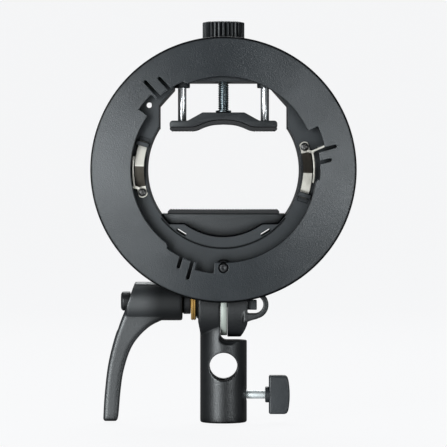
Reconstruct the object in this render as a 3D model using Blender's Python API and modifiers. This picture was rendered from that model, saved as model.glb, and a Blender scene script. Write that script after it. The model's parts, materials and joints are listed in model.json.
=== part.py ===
"""Umbrella swivel bracket: a bayonet ring with a screw clamp on a tilting stand adapter.

X points right seen from the ring's side, Y points back, Z up. Lengths are in millimetres
and are scaled to metres where geometry is made.
The origin is the centre of the stand socket's blind end.
"""

import math

import bmesh
import bpy
from mathutils import Matrix, Vector

for thing in list(bpy.data.objects):
    bpy.data.objects.remove(thing, do_unlink=True)

MM = 0.001
ORIGIN = (0, 0, 0)
SIDES = (("left", -1), ("right", 1))

# ring and housing share one axis along Y
RING_Z = 104.0
RING_CENTRE = (0, RING_Z)
RING_R = 77.4
RECESS_R = 70.6
FRONT_Y = -32.0
LIP_BACK_Y = -29.0
RING_BACK_Y = -22.0
SCREW_CIRCLE_R = 64.0
SCREW_ANGLES = (30.0, 150.0, 210.0, 330.0)
FLOOR_R = 70.0
FLOOR_FRONT_Y = -24.5
FLOOR_BACK_Y = -21.5
OPEN_R = 45.0
WALL_R = 49.0
BACK_Y = 24.0
# tilt joint, along X
TILT_Z = 26.4
TILT = (0, 0, TILT_Z)
TILT_YZ = (0, TILT_Z)
CHEEK_R = 20.2
CHEEK_X = (-14.2, -1.9)
LUG_X = (2.3, 14.0)
LUG_R = 21.0
BOLT_R = 3.9
BOLT_BORE_R = 4.4
LUG_SCREW_X = {"left": -7.0, "right": 11.0}
LUG_SCREW_Y = 19.0
# stand socket
SOCKET_R = 8.1
ADAPTER_R = 13.8
MOUTH_Z = -45.0
STEP_Z = 3.4
CROSS_Z = -11.7
LOCK = (0, 0, -28.8)
# clamp
ROD_X = 24.4
ROD_R = 2.5
SCREW_R = 3.175
PIN = (0, 0, 47.0)


# ---------------------------------------------------------------- making shapes
def new_collection(name, hidden=False):
    made = bpy.data.collections.new(name)
    bpy.context.scene.collection.children.link(made)
    made.hide_render = hidden
    return made


BRACKET = new_collection("umbrella_swivel_bracket")
CUTTERS = new_collection("cutters", hidden=True)

# turns a shape built along Z onto the named axis
AXIS_TURNS = {
    "z": Matrix.Identity(4),
    "x": Matrix.Rotation(math.radians(90), 4, "Y"),
    "y": Matrix.Rotation(math.radians(-90), 4, "X"),
}
# plane: (matrix from a flat outline, direction across the plane)
PLANES = {
    "XZ": (
        Matrix(((1, 0, 0, 0), (0, 0, -1, 0), (0, 1, 0, 0), (0, 0, 0, 1))),
        Vector((0, 1, 0)),
    ),
    "YZ": (
        Matrix(((0, 0, 1, 0), (1, 0, 0, 0), (0, 1, 0, 0), (0, 0, 0, 1))),
        Vector((1, 0, 0)),
    ),
    "XY": (Matrix.Identity(4), Vector((0, 0, 1))),
}


def shape(name, mesh):
    obj = bpy.data.objects.new(name, mesh)
    BRACKET.objects.link(obj)
    return obj


def shape_from_bmesh(name, shell):
    mesh = bpy.data.meshes.new(name)
    shell.to_mesh(mesh)
    shell.free()
    return shape(name, mesh)


def working_object(name, data):
    work = bpy.data.objects.new(name + "_work", data)
    bpy.context.scene.collection.objects.link(work)
    return work


def settled(name, source, matrix):
    """The evaluated mesh of a working object, moved into place, closed and facing out."""
    bpy.context.view_layer.update()
    graph = bpy.context.evaluated_depsgraph_get()
    mesh = bpy.data.meshes.new_from_object(source.evaluated_get(graph))
    bpy.data.objects.remove(source, do_unlink=True)
    mesh.transform(matrix)
    shell = bmesh.new()
    shell.from_mesh(mesh)
    bmesh.ops.remove_doubles(shell, verts=shell.verts, dist=1e-6)
    bmesh.ops.recalc_face_normals(shell, faces=shell.faces)
    shell.to_mesh(mesh)
    shell.free()
    mesh.name = name
    return shape(name, mesh)


def on_axis(centre, axis):
    return Matrix.Translation(Vector(centre) * MM) @ AXIS_TURNS[axis]


def block(name, low, high):
    low, high = Vector(low) * MM, Vector(high) * MM
    shell = bmesh.new()
    bmesh.ops.create_cube(
        shell,
        size=1.0,
        matrix=Matrix.Translation((low + high) / 2) @ Matrix.Diagonal((*(high - low), 1.0)),
    )
    return shape_from_bmesh(name, shell)


def turned(name, profile, steps, centre=ORIGIN, axis="z", ring=False):
    """(radius, place along the axis) points turned about the axis. A ring's profile is closed."""
    mesh = bpy.data.meshes.new(name)
    points = [(radius * MM, 0.0, along * MM) for radius, along in profile]
    edges = [(i, i + 1) for i in range(len(points) - 1)]
    if ring:
        edges.append((len(points) - 1, 0))
    mesh.from_pydata(points, edges, [])
    work = working_object(name, mesh)
    screw = work.modifiers.new("turn", "SCREW")
    screw.axis = "Z"
    screw.steps = screw.render_steps = steps
    screw.use_merge_vertices = True
    screw.merge_threshold = 1e-6
    return settled(name, work, on_axis(centre, axis))


def chamfered_side(radius, low, high, chamfer):
    return [
        (radius - chamfer, high), (radius, high - chamfer),
        (radius, low + chamfer), (radius - chamfer, low),
    ]


def pin(name, radius, low, high, centre=ORIGIN, axis="z", steps=18, chamfer=0.0):
    """A round bar along an axis, with both ends chamfered when asked."""
    if chamfer:
        side = chamfered_side(radius, low, high, chamfer)
    else:
        side = [(radius, high), (radius, low)]
    return turned(name, [(0, high), *side, (0, low)], steps, centre, axis)


def tube(name, inner, outer, low, high, centre=ORIGIN, axis="z", steps=18, chamfer=0.4):
    """A round tube with its outer edges chamfered."""
    profile = [(inner, high), *chamfered_side(outer, low, high, chamfer), (inner, low)]
    return turned(name, profile, steps, centre, axis, ring=True)


def stepped(name, spans, centre=ORIGIN, axis="z"):
    """Coaxial bores in one cutter, given as (radius, low, high) from low to high."""
    profile = [(0, spans[-1][2])]
    for radius, low, high in reversed(spans):
        profile += [(radius, high), (radius, low)]
    profile.append((0, spans[0][1]))
    return turned(name, profile, 16, centre, axis)


def plate(name, loops, low, high, plane="XZ"):
    """Closed outlines in a plane, filled, from low to high across the plane."""
    curve = bpy.data.curves.new(name, "CURVE")
    curve.dimensions = "2D"
    curve.fill_mode = "BOTH"
    curve.extrude = (high - low) / 2 * MM
    for loop in loops:
        spline = curve.splines.new("POLY")
        spline.points.add(len(loop) - 1)
        for point, (across, up) in zip(spline.points, loop):
            point.co = (across * MM, up * MM, 0.0, 1.0)
        spline.use_cyclic_u = True
    work = working_object(name, curve)
    matrix, direction = PLANES[plane]
    return settled(name, work, Matrix.Translation(direction * ((low + high) / 2 * MM)) @ matrix)


def coil(name, centre, axis, low, high, radius, wire):
    """A compression spring along an axis. wire is the wire's radius."""
    turns, points_per_turn = 3.5, 8
    curve = bpy.data.curves.new(name, "CURVE")
    curve.dimensions = "3D"
    curve.bevel_depth = wire * MM
    curve.bevel_resolution = 2
    curve.use_fill_caps = True
    spline = curve.splines.new("POLY")
    count = int(turns * points_per_turn) + 1
    spline.points.add(count - 1)
    for i, point in enumerate(spline.points):
        share = i / (count - 1)
        angle = 2 * math.pi * turns * share
        rise = low + wire + (high - low - 2 * wire) * share
        x, y = radius * math.cos(angle), radius * math.sin(angle)
        point.co = (x * MM, y * MM, rise * MM, 1.0)
    return settled(name, working_object(name, curve), on_axis(centre, axis))


# ---------------------------------------------------------------- changing shapes
def combine(obj, helpers, operation, ending):
    """One Boolean on a collection of helpers, switched off until every helper is in place."""
    group = bpy.data.collections.new(obj.name + "_" + ending)
    CUTTERS.children.link(group)
    for helper in helpers:
        group.objects.link(helper)
        BRACKET.objects.unlink(helper)
        helper.hide_render = True
        helper.display_type = "WIRE"
    step = obj.modifiers.new(ending, "BOOLEAN")
    step.operation = operation
    step.solver = "EXACT"
    step.operand_type = "COLLECTION"
    step.collection = group
    step.show_viewport = step.show_render = False


def join(obj, *helpers):
    """All of a part's additions, in one call."""
    combine(obj, helpers, "UNION", "additions")


def cut(obj, *helpers):
    """All of a part's cuts, in one call."""
    combine(obj, helpers, "DIFFERENCE", "cuts")


def bevel(obj, width, angle=30.0):
    step = obj.modifiers.new("edges", "BEVEL")
    step.width = width * MM
    step.segments = 1
    step.limit_method = "ANGLE"
    step.angle_limit = math.radians(angle)


def smooth(obj):
    obj.data.shade_smooth()
    obj.data.set_sharp_from_angle(angle=math.radians(35.0))
    return obj


def set_origin(obj, place):
    """Puts the object's origin on its joint axis without moving its shape."""
    place = Vector(place) * MM
    obj.data.transform(Matrix.Translation(-place))
    obj.location = place


# ---------------------------------------------------------------- outlines
def arc(centre, radius, start, end, step=5.0):
    """Points on an arc, in degrees, both ends included."""
    count = max(1, math.ceil(abs(end - start) / step))
    angles = [math.radians(start + (end - start) * i / count) for i in range(count + 1)]
    return [
        (centre[0] + radius * math.cos(angle), centre[1] + radius * math.sin(angle))
        for angle in angles
    ]


def circle(centre, radius, count, start=0.0):
    """A regular polygon with its first corner at the start angle."""
    return arc(centre, radius, start, start + 360.0, 360.0 / count)[:-1]


def star(centre, outer, inner, teeth):
    """Pointed teeth round a centre, starting in a valley."""
    points = []
    for i in range(2 * teeth):
        radius = outer if i % 2 else inner
        angle = math.pi * i / teeth
        points.append((centre[0] + radius * math.cos(angle), centre[1] + radius * math.sin(angle)))
    return points


def polar(radius, angle):
    """(x, z) of a point round the ring's axis, the angle in degrees up from +X."""
    angle = math.radians(angle)
    return radius * math.cos(angle), RING_Z + radius * math.sin(angle)


def ring_place(radius, angle):
    x, z = polar(radius, angle)
    return x, 0, z


def stadium(start, end, half):
    """A slot outline with round ends."""
    heading = math.degrees(math.atan2(end[1] - start[1], end[0] - start[0]))
    return (
        arc(end, half, heading - 90, heading + 90, 45.0)
        + arc(start, half, heading + 90, heading + 270, 45.0)
    )


def mirrored(right):
    """A right-hand chain of points closed by its mirror image."""
    return right + [(-x, z) for x, z in reversed(right) if abs(x) > 1e-6]


def rounded(points, radius, step=30.0):
    """A closed outline with each corner rounded. radius is one number or one per corner."""
    total = len(points)
    radii = radius if isinstance(radius, list) else [radius] * total
    outline = []
    for i, (point, wanted) in enumerate(zip(points, radii)):
        here = Vector(point)
        if wanted <= 0:
            outline.append(tuple(here))
            continue
        before = Vector(points[i - 1]) - here
        after = Vector(points[(i + 1) % total]) - here
        corner = before.angle(after)
        # keeps the two arcs on an edge from meeting
        reach = min(wanted / math.tan(corner / 2), before.length * 0.49, after.length * 0.49)
        fitted = reach * math.tan(corner / 2)
        halfway = (before.normalized() + after.normalized()).normalized()
        middle = here + halfway * (fitted / math.sin(corner / 2))
        first = here + before.normalized() * reach - middle
        last = here + after.normalized() * reach - middle
        sweep = math.pi - corner
        count = max(1, math.ceil(math.degrees(sweep) / step))
        start = math.atan2(first.y, first.x)
        side = math.copysign(1.0, first.x * last.y - first.y * last.x)
        for k in range(count + 1):
            angle = start + side * sweep * k / count
            outline.append(
                (middle.x + fitted * math.cos(angle), middle.y + fitted * math.sin(angle))
            )
    return outline


# ---------------------------------------------------------------- materials
BLACK_CAST = dict(colour=(0.02, 0.021, 0.023), roughness=0.45, metallic=0.0)
BLACK_PLASTIC = dict(colour=(0.03, 0.032, 0.035), roughness=0.5, metallic=0.0)
RUBBER = dict(colour=(0.015, 0.015, 0.016), roughness=0.8, metallic=0.0)
CHROME = dict(colour=(0.8, 0.81, 0.83), roughness=0.12, metallic=1.0)
ZINC = dict(colour=(0.55, 0.56, 0.57), roughness=0.35, metallic=1.0)
STEEL = dict(colour=(0.62, 0.66, 0.62), roughness=0.3, metallic=1.0)
BRASS = dict(colour=(0.78, 0.56, 0.22), roughness=0.28, metallic=1.0)
BLACK_STEEL = dict(colour=(0.03, 0.03, 0.035), roughness=0.35, metallic=0.6)


def finish(obj, surface):
    material = bpy.data.materials.new(obj.name + "_finish")
    material.use_nodes = True
    nodes = material.node_tree.nodes
    shader = next(node for node in nodes if node.type == "BSDF_PRINCIPLED")
    shader.inputs["Base Color"].default_value = (*surface["colour"], 1.0)
    shader.inputs["Roughness"].default_value = surface["roughness"]
    shader.inputs["Metallic"].default_value = surface["metallic"]
    obj.data.materials.clear()
    obj.data.materials.append(material)


# ---------------------------------------------------------------- stand adapter
# (radius, z)
ADAPTER_PROFILE = [
    (0, STEP_Z), (ADAPTER_R - 0.8, STEP_Z), (ADAPTER_R, STEP_Z - 0.8),
    (ADAPTER_R, MOUTH_Z + 0.6), (ADAPTER_R - 0.6, MOUTH_Z), (0, MOUTH_Z),
]
SOCKET_PROFILE = [
    (0, 0), (SOCKET_R - 0.6, 0), (SOCKET_R, -0.6), (SOCKET_R, MOUTH_Z + 1.0),
    (SOCKET_R + 3.0, MOUTH_Z - 2.0), (0, MOUTH_Z - 2.0),
]


def stand_adapter():
    """The round socket with one cheek of the tilt joint on top."""
    adapter = turned("stand_adapter", ADAPTER_PROFILE, 40)
    cheek = [(-13.0, -5.0), (13.0, -5.0)] + arc(TILT_YZ, CHEEK_R, -49.9, 229.9, 8.0)
    join(
        adapter,
        plate("cheek_form", [cheek], *CHEEK_X, "YZ"),
        pin("boss_form", 10.0, -16.0, -13.0, TILT, "x", 32),
    )
    cut(
        adapter,
        turned("socket_cut", SOCKET_PROFILE, 28),
        pin("cheek_bore", BOLT_BORE_R, -20, 2, TILT, "x"),
        pin("cross_hole", 8.2, -16, 16, (0, 0, CROSS_Z), "y", 28),
        pin("lock_hole", 2.9, 5.0, 16.0, LOCK, "x"),
    )
    finish(adapter, BLACK_CAST)


def tilt_discs():
    """The disc against the cheek's inner face and the washer on its boss."""
    disc = tube("friction_disc", BOLT_BORE_R, CHEEK_R, -1.6, 1.5, TILT, "x", 36, 0.2)
    finish(smooth(disc), STEEL)
    washer = tube("brass_washer", 4.3, 11.2, -19.2, -16.2, TILT, "x", 28)
    finish(smooth(washer), BRASS)


# ---------------------------------------------------------------- tilt clamp
TEETH = 18
# profiles are (radius, x)
INSERT_PROFILE = [
    (4.1, -19.4), (7.4, -19.4), (7.6, -19.6), (7.6, -23.6), (7.4, -23.8),
    (5.2, -23.8), (5.2, -35.0), (2.8, -35.0), (2.8, -28.0), (4.1, -27.5),
]
LEVER_SCREW_PROFILE = [
    (0, -30.0), (2.5, -30.0), (2.5, -55.0), (5.7, -55.0), (5.7, -59.6), (4.8, -60.5), (0, -60.5),
]
HUB_PROFILE = [(0, -24.2), (10.4, -24.2), (11.1, -24.9), (11.1, -51.0), (9.0, -57.4), (0, -57.4)]
HUB_CUT_PROFILE = [
    (0, -20.0), (7.9, -20.0), (7.9, -24.9), (7.7, -25.0),
    (7.7, -25.2), (3.0, -25.2), (3.0, -50.0), (0, -50.0),
]
# (x, z): down the outer edge, then back up the inner one
LEVER_OUTLINE = [
    (-51.0, 37.4), (-57.2, 23.5), (-60.3, 16.3), (-64.8, 2.7), (-68.2, -11.7), (-70.4, -31.7),
    (-71.2, -44.3), (-62.6, -44.3), (-62.0, -39.7), (-60.8, -26.1), (-59.1, -14.9), (-55.2, -2.9),
    (-50.2, 5.1), (-43.4, 11.7), (-35.6, 15.4), (-30.0, 19.0), (-30.0, 33.0), (-40.0, 37.4),
]
# one radius per point: the top corner and the two at the tip are rounded
LEVER_CORNERS = [1.5, 0, 0, 0, 0, 0, 2.5, 2.5] + [0] * 10


def tilt_bolt():
    bolt = pin("tilt_bolt", BOLT_R, -27.0, 14.8, TILT, "x", 20, 0.5)
    finish(smooth(bolt), ZINC)


def lever_insert():
    """The toothed sleeve between bolt and lever."""
    insert = turned("lever_insert", INSERT_PROFILE, 24, TILT, "x", ring=True)
    loops = [star(TILT_YZ, 7.2, 6.2, TEETH), circle(TILT_YZ, 4.6, 24)]
    join(insert, plate("insert_teeth", loops, -28.3, -23.7, "YZ"))
    finish(insert, BLACK_STEEL)


def lever_screw():
    screw = smooth(turned("lever_screw", LEVER_SCREW_PROFILE, 24, TILT, "x"))
    cut(screw, plate("screw_key", [circle(TILT_YZ, 1.9, 6)], -62.0, -58.0, "YZ"))
    finish(screw, BLACK_STEEL)


def tilt_lever():
    """The curved handle with its hub, toothed inside."""
    lever = plate("tilt_lever", [rounded(LEVER_OUTLINE, LEVER_CORNERS)], -6.0, 6.0)
    bevel(lever, 1.2, 40)
    join(lever, turned("hub_form", HUB_PROFILE, 36, TILT, "x"))
    cut(
        lever,
        turned("hub_cut", HUB_CUT_PROFILE, 24, TILT, "x"),
        plate("hub_teeth", [star(TILT_YZ, 7.6, 6.6, TEETH)], -28.9, -23.0, "YZ"),
        pin("hub_relief", 7.9, -36.0, -28.5, TILT, "x"),
        pin("hub_chamber", 6.2, -64.0, -44.0, TILT, "x"),
    )
    finish(lever, BLACK_CAST)


def lever_spring():
    spring = coil("lever_spring", TILT, "x", -54.9, -44.1, radius=4.5, wire=0.5)
    finish(smooth(spring), ZINC)


def tilt_nut():
    loops = [circle(TILT_YZ, 7.45, 6, 30), circle(TILT_YZ, 4.15, 20)]
    finish(plate("tilt_nut", loops, 9.9, 13.7, "YZ"), ZINC)


# ---------------------------------------------------------------- swivel lug with the umbrella eye
EYE = (18.3, 24.9)
EYE_R = 8.0
EYE_HOLE_R = 5.1
EYE_HOLE_X = 14.0
GRIP = (0, -14.5, 24.85)
# (radius, z)
LUG_SCREW_PROFILE = [
    (0, 58.5), (1.8, 58.5), (1.8, 47.4), (3.2, 47.4), (3.2, 45.4), (2.8, 45.0), (0, 45.0),
]


def lug_screw_place(side):
    return LUG_SCREW_X[side], LUG_SCREW_Y, 0


def swivel_lug():
    """The second cheek of the tilt joint, with a flange on top and the eye at the front."""
    top = [(-8.0, 46.0), (-8.0, 49.0), (14.0, 49.0), (14.0, 46.0)]
    lug = plate("swivel_lug", [top + arc(TILT_YZ, LUG_R, 47.0, -229.0, 8.0)], *LUG_X, "YZ")
    eye = [(12.4, EYE[1] + EYE_R)] + arc(EYE, EYE_R, 90, -72, 9.0) + [(14.0, 15.2), (12.4, 14.7)]
    hole = (
        [(EYE_HOLE_X, EYE[1] + EYE_HOLE_R)]
        + arc(EYE, EYE_HOLE_R, 90, -90, 12.0)
        + [(EYE_HOLE_X, EYE[1] - EYE_HOLE_R)]
    )
    join(
        lug,
        block("flange_form", (-12.0, -8.5, 47.6), (16.0, 24.0, 51.6)),
        plate("eye_form", [eye], -20.5, -8.5),
    )
    cut(
        lug,
        plate("eye_hole", [hole], -30.0, 0.0),
        plate("lug_corner", [[(15.0, 16.4), (15.0, 2.0), (8.4, 2.0)]], -30, 30),
        pin("lug_bore", BOLT_BORE_R, 0, 16, TILT, "x"),
        plate("nut_pocket", [circle(TILT_YZ, 7.75, 6, 30)], 9.5, 16.0, "YZ"),
        block("grip_pocket", (3.4, -18.3, 21.7), (14.6, -10.7, 28.0)),
        pin("lug_screw_hole_1", 2.1, 46, 53, lug_screw_place("left"), steps=12),
        pin("lug_screw_hole_2", 2.1, 46, 53, lug_screw_place("right"), steps=12),
    )
    finish(lug, BLACK_CAST)


def umbrella_grip():
    """The sprung block that reaches into the eye."""
    grip = block("umbrella_grip_block", (8.3, -18.0, 22.0), (19.5, -11.0, 27.7))
    bevel(grip, 0.4)
    cut(grip, pin("grip_bore", 2.2, 0.0, 15.0, GRIP, "x", 16))
    finish(grip, BLACK_PLASTIC)
    spring = coil("umbrella_grip_spring", GRIP, "x", 3.5, 14.9, radius=1.6, wire=0.3)
    finish(smooth(spring), ZINC)


def lug_screws():
    for side in LUG_SCREW_X:
        screw = turned("lug_screw_" + side, LUG_SCREW_PROFILE, 12, lug_screw_place(side))
        finish(smooth(screw), BLACK_STEEL)


# ---------------------------------------------------------------- housing
SCREW_PLACES = [ring_place(SCREW_CIRCLE_R, angle) for angle in SCREW_ANGLES]
LEAF_R = 49.0
LEAF_SCREW_ANGLE = 15.7
LEAF_TURNS = (("right", 0.0), ("left", 180.0))

# right halves of outlines, (x, z)
WEB = [(0.0, 64.7), (6.0, 65.2), (12.0, 66.7), (18.0, 69.3), (22.9, 72.2)]
WINDOW = (
    WEB
    + arc(RING_CENTRE, OPEN_R, -45.0, 33.0, 4.5)
    + [(37.6, 129.2), (37.6, 141.5), (28.9, 151.2), (28.9, 155.5), (0.0, 155.5)]
)
WALL = (
    [(0.0, 55.0)]
    + arc(RING_CENTRE, WALL_R, -86.0, 31.0, 7.0)
    + [(42.0, 143.5), (34.0, 152.5), (34.0, 167.5), (29.5, 172.0), (0.0, 172.0)]
)
# coaxial bores, (radius, low, high)
SCREW_BORE = ((5.7, 150.0, 166.0), (3.7, 166.0, 180.0))
ROD_BORE = ((4.8, 150.0, 170.0), (2.8, 170.0, 175.0))
PIN_BORE = ((4.5, -30.0, -17.2), (2.1, -17.2, -12.0))


def leaf_screw_place(turn):
    return ring_place(LEAF_R, LEAF_SCREW_ANGLE + turn)


def hook_bars(name, low, high):
    """A block beside the ring's axis, turned to each of the two leaf spring hooks."""
    bars = []
    for i, angle in enumerate((-17.6, 162.4)):
        bar = block("%s_%d" % (name, i), low, high)
        bar.data.transform(
            Matrix.Translation(Vector((0, 0, RING_Z * MM)))
            @ Matrix.Rotation(math.radians(-angle), 4, "Y")
        )
        bars.append(bar)
    return bars


def housing():
    """The round floor behind the ring and the wall round the clamp."""
    body = plate("housing", [circle(RING_CENTRE, FLOOR_R, 60)], FLOOR_FRONT_Y, FLOOR_BACK_Y)
    join(
        body,
        plate("wall_form", [mirrored(WALL)], -21.8, BACK_Y),
        block("lug_seat", (-13.0, -11.0, 51.9), (17.0, BACK_Y - 0.5, 62.0)),
        pin("pin_boss", 5.2, -23.1, -16.0, PIN, "y"),
        pin("neck_boss", 8.5, 170.0, 176.4, steps=20),
        *hook_bars(
            "hook_form", (45.7, FLOOR_FRONT_Y - 2.6, -1.3), (53.4, FLOOR_FRONT_Y + 1.0, 1.3)
        ),
    )
    slits = [
        plate("slit_" + side, [stadium((sign * 22.6, 66.3), (sign * 26.4, 68.7), 0.7)], -40, 40)
        for side, sign in SIDES
    ]
    cut(
        body,
        plate("window_cut", [mirrored(WINDOW)], -40.0, 40.0),
        *hook_bars(
            "hook_slot", (46.2, FLOOR_FRONT_Y - 1.3, -4.0), (52.2, FLOOR_FRONT_Y + 0.15, 4.0)
        ),
        *slits,
        stepped("screw_bore", SCREW_BORE),
        *[stepped("rod_bore_" + side, ROD_BORE, (sign * ROD_X, 0, 0)) for side, sign in SIDES],
        stepped("pin_bore", PIN_BORE, PIN, "y"),
        pin("sight_hole", 1.6, -30, -18, ring_place(57.3, 139.0), "y", 12),
        *[
            pin("lug_thread_" + side, 2.1, 50, 59.5, lug_screw_place(side), steps=12)
            for side in LUG_SCREW_X
        ],
        *[
            pin("floor_hole_%d" % i, 1.9, -30, -18, place, "y", 12)
            for i, place in enumerate(SCREW_PLACES)
        ],
        *[
            pin("leaf_thread_%d" % i, 1.45, -30, -17.5, leaf_screw_place(turn), "y", 12)
            for i, (_, turn) in enumerate(LEAF_TURNS)
        ],
        block("bridge_pocket_0", (-18.5, 6.0, 158.0), (-9.0, 30.0, 169.0)),
        block("bridge_pocket_1", (9.0, 6.0, 158.0), (18.5, 30.0, 169.0)),
    )
    finish(body, BLACK_PLASTIC)


# ---------------------------------------------------------------- bayonet ring
# (radius, y)
RING_PROFILE = [
    (50.0, FRONT_Y), (RING_R - 1.0, FRONT_Y), (RING_R, FRONT_Y + 1.0), (RING_R, RING_BACK_Y),
    (RECESS_R, RING_BACK_Y), (RECESS_R, LIP_BACK_Y), (50.0, LIP_BACK_Y),
]
# the opening's edge in one third of a turn: (radius, start angle, end angle)
LIP_ZONES = (
    (56.3, -6.0, 13.9),    # tongue
    (60.4, 13.9, 24.6),    # lug notch
    (53.8, 24.6, 112.6),   # plain lip
    (54.8, 113.0, 114.0),  # pocket
)
# tongue slots: outer end radii (long, short) for each third
SLOT_RADII = ((67.0, 63.0), (69.0, 65.5), (67.0, 63.0))
SLOT_ANGLES = (11.7, 5.1)
SLOT_HEADING = 13.5
SLOT_INNER_R = 54.5
SLOT_HALF = 0.8
GROOVE_OUTER_R = 75.4
GROOVE_INNER_R = 72.6
# (radius, y)
RING_SCREW_PROFILE = [
    (0, -19.2), (2.4, -19.2), (2.9, -19.7), (2.9, -21.3),
    (1.4, -21.3), (1.4, -30.2), (0, -30.2),
]


def lip():
    points = []
    for k in range(3):
        for radius, start, end in LIP_ZONES:
            points += arc(RING_CENTRE, radius, 120.0 * k + start, 120.0 * k + end)
    return points


def tongue_slots():
    """Outlines of the slots either side of each tongue, each pair parallel."""
    slots = []
    for k, radii in enumerate(SLOT_RADII):
        turn = 120.0 * k
        heading = math.radians(SLOT_HEADING + turn)
        for radius, angle in zip(radii, SLOT_ANGLES):
            reach = radius - SLOT_INNER_R
            x, z = polar(radius - SLOT_HALF, angle + turn)
            start = (x - reach * math.cos(heading), z - reach * math.sin(heading))
            slots.append(stadium(start, (x, z), SLOT_HALF))
    return slots


def groove_segments():
    return [
        arc(RING_CENTRE, GROOVE_OUTER_R, 45 * k + 1.5, 45 * k + 43.5, 7.0)
        + arc(RING_CENTRE, GROOVE_INNER_R, 45 * k + 43.5, 45 * k + 1.5, 7.0)
        for k in range(8)
    ]


def front_ring():
    ring = turned("front_ring", RING_PROFILE, 64, (0, 0, RING_Z), "y", ring=True)
    join(ring, *[
        pin("ring_boss_%d" % i, 3.6, LIP_BACK_Y - 1.5, FLOOR_FRONT_Y - 0.2, place, "y", 20)
        for i, place in enumerate(SCREW_PLACES)
    ])
    cut(
        ring,
        plate("lip_cut", [lip()], -40, -10),
        *[plate("tongue_slot_%d" % i, [loop], -40, -20) for i, loop in enumerate(tongue_slots())],
        pin("pin_hole", 3.0, -40, -20, PIN, "y"),
        *[
            pin("ring_thread_%d" % i, 1.7, -30.6, -20, place, "y", 12)
            for i, place in enumerate(SCREW_PLACES)
        ],
        plate("ring_groove", groove_segments(), -27.5, -20.0),
    )
    finish(ring, BLACK_PLASTIC)


def ring_screws():
    for i, place in enumerate(SCREW_PLACES):
        screw = turned("ring_screw_%d" % (i + 1), RING_SCREW_PROFILE, 12, place, "y")
        finish(smooth(screw), BLACK_STEEL)


# ---------------------------------------------------------------- leaf springs
LEAF_THICKNESS = 0.45
LEAF_WIDTH = 5.2
LEAF_START, LEAF_END = 19.2, -19.6
# the hump: its angles, its height and the power that shapes its flanks
HUMP_START, HUMP_PEAK, HUMP_END = 12.0, -2.5, -16.0
HUMP_HEIGHT = 3.5
HUMP_POWER = 1.15
LEAF_REST = 0.3
# (radius, y)
LEAF_SCREW_PROFILE = [
    (0, -18.0), (1.15, -18.0), (1.15, -25.15), (2.4, -25.15),
    (2.3, -26.2), (1.5, -26.7), (0, -26.7),
]


def leaf_rise(angle):
    """How far the leaf stands off the floor, along its arc."""
    if angle > HUMP_START or angle < HUMP_END:
        return LEAF_REST
    span = HUMP_START - HUMP_PEAK if angle > HUMP_PEAK else HUMP_PEAK - HUMP_END
    share = 1.0 - abs(angle - HUMP_PEAK) / span
    return LEAF_REST + HUMP_HEIGHT * (share ** HUMP_POWER)


def leaf_spring(side, turn):
    """A strip bent along the floor's opening, humped towards the ring."""
    shell = bmesh.new()
    bmesh.ops.create_grid(shell, x_segments=18, y_segments=1, size=0.5)
    for vert in shell.verts:
        angle = LEAF_START + (vert.co.x + 0.5) * (LEAF_END - LEAF_START)
        x, z = polar(LEAF_R + vert.co.y * LEAF_WIDTH, angle + turn)
        vert.co = Vector((x, FLOOR_FRONT_Y - leaf_rise(angle), z)) * MM
    leaf = shape_from_bmesh("leaf_spring_" + side, shell)
    thick = leaf.modifiers.new("thickness", "SOLIDIFY")
    thick.thickness = LEAF_THICKNESS * MM
    thick.offset = 0.0
    cut(leaf, pin("leaf_hole_" + side, 1.5, -30, -20, leaf_screw_place(turn), "y", 12))
    finish(leaf, CHROME)


def leaf_screw(side, turn):
    screw = turned("leaf_screw_" + side, LEAF_SCREW_PROFILE, 20, leaf_screw_place(turn), "y")
    finish(smooth(screw), ZINC)


# ---------------------------------------------------------------- lock pin and its release
# (radius, y)
LOCK_PIN_PROFILE = [
    (0, -12.4), (1.8, -12.4), (1.8, -27.2), (4.1, -27.2), (4.1, -28.4),
    (2.4, -28.4), (2.4, -32.1), (2.1, -32.4), (0, -32.4),
]


def lock_pin():
    finish(smooth(turned("lock_pin", LOCK_PIN_PROFILE, 24, PIN, "y")), ZINC)
    spring = coil("lock_pin_spring", PIN, "y", -27.1, -17.3, radius=3.1, wire=0.35)
    finish(smooth(spring), ZINC)


def pin_release_lever():
    """A flat bar on the pin's back end with a finger tab at its right."""
    outline = [(-3.4, 45.4), (27.5, 45.4), (27.5, 50.4), (-3.4, 50.4)]
    release = plate("pin_release_lever", [rounded(outline, 1.5)], -15.2, -14.0)
    join(release, block("finger_tab", (21.5, -14.6, 44.2), (27.5, -3.0, 51.4)))
    cut(release, pin("release_hole", 2.0, -20, -10, PIN, "y", 12))
    finish(release, BLACK_PLASTIC)


# ---------------------------------------------------------------- jaws
JAW_Y = (-19.5, 22.0)
PAD_Y = (-19.0, 21.5)
SEAT_GAP = 0.4
BORE_R = 5.6
# right halves of outlines, (x, z)
LOWER_JAW = (
    [(x, z + SEAT_GAP) for x, z in WEB[:-1]]
    + [(22.8, 72.6), (31.7, 72.5), (36.0, 78.2), (0.0, 78.2)]
)
UPPER_JAW = (
    [(0.0, 133.2), (6.0, 132.8), (11.0, 131.5), (15.5, 129.6), (18.5, 128.9), (31.5, 128.9)]
    + arc((29.6, 130.8), 1.9, 0, 90, 30)
    + [(20.9, 132.7), (12.25, 137.5), (0.0, 137.5)]
)
UPPER_PAD = [
    (0.0, 131.0), (6.0, 130.6), (11.0, 129.3), (15.5, 127.4), (18.5, 126.8),
    (30.9, 126.8), (31.4, 127.3), (31.4, 128.75), (18.3, 128.75),
    (15.3, 129.4), (10.8, 131.3), (5.8, 132.6), (0.0, 133.0),
]


def lower_jaw():
    finish(plate("lower_jaw", [mirrored(LOWER_JAW)], *JAW_Y), BLACK_PLASTIC)
    outline = [(-32.6, 78.3), (32.6, 78.3), (32.6, 80.6), (-32.6, 80.6)]
    finish(plate("lower_pad", [rounded(outline, 0.5)], *PAD_Y), RUBBER)


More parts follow.
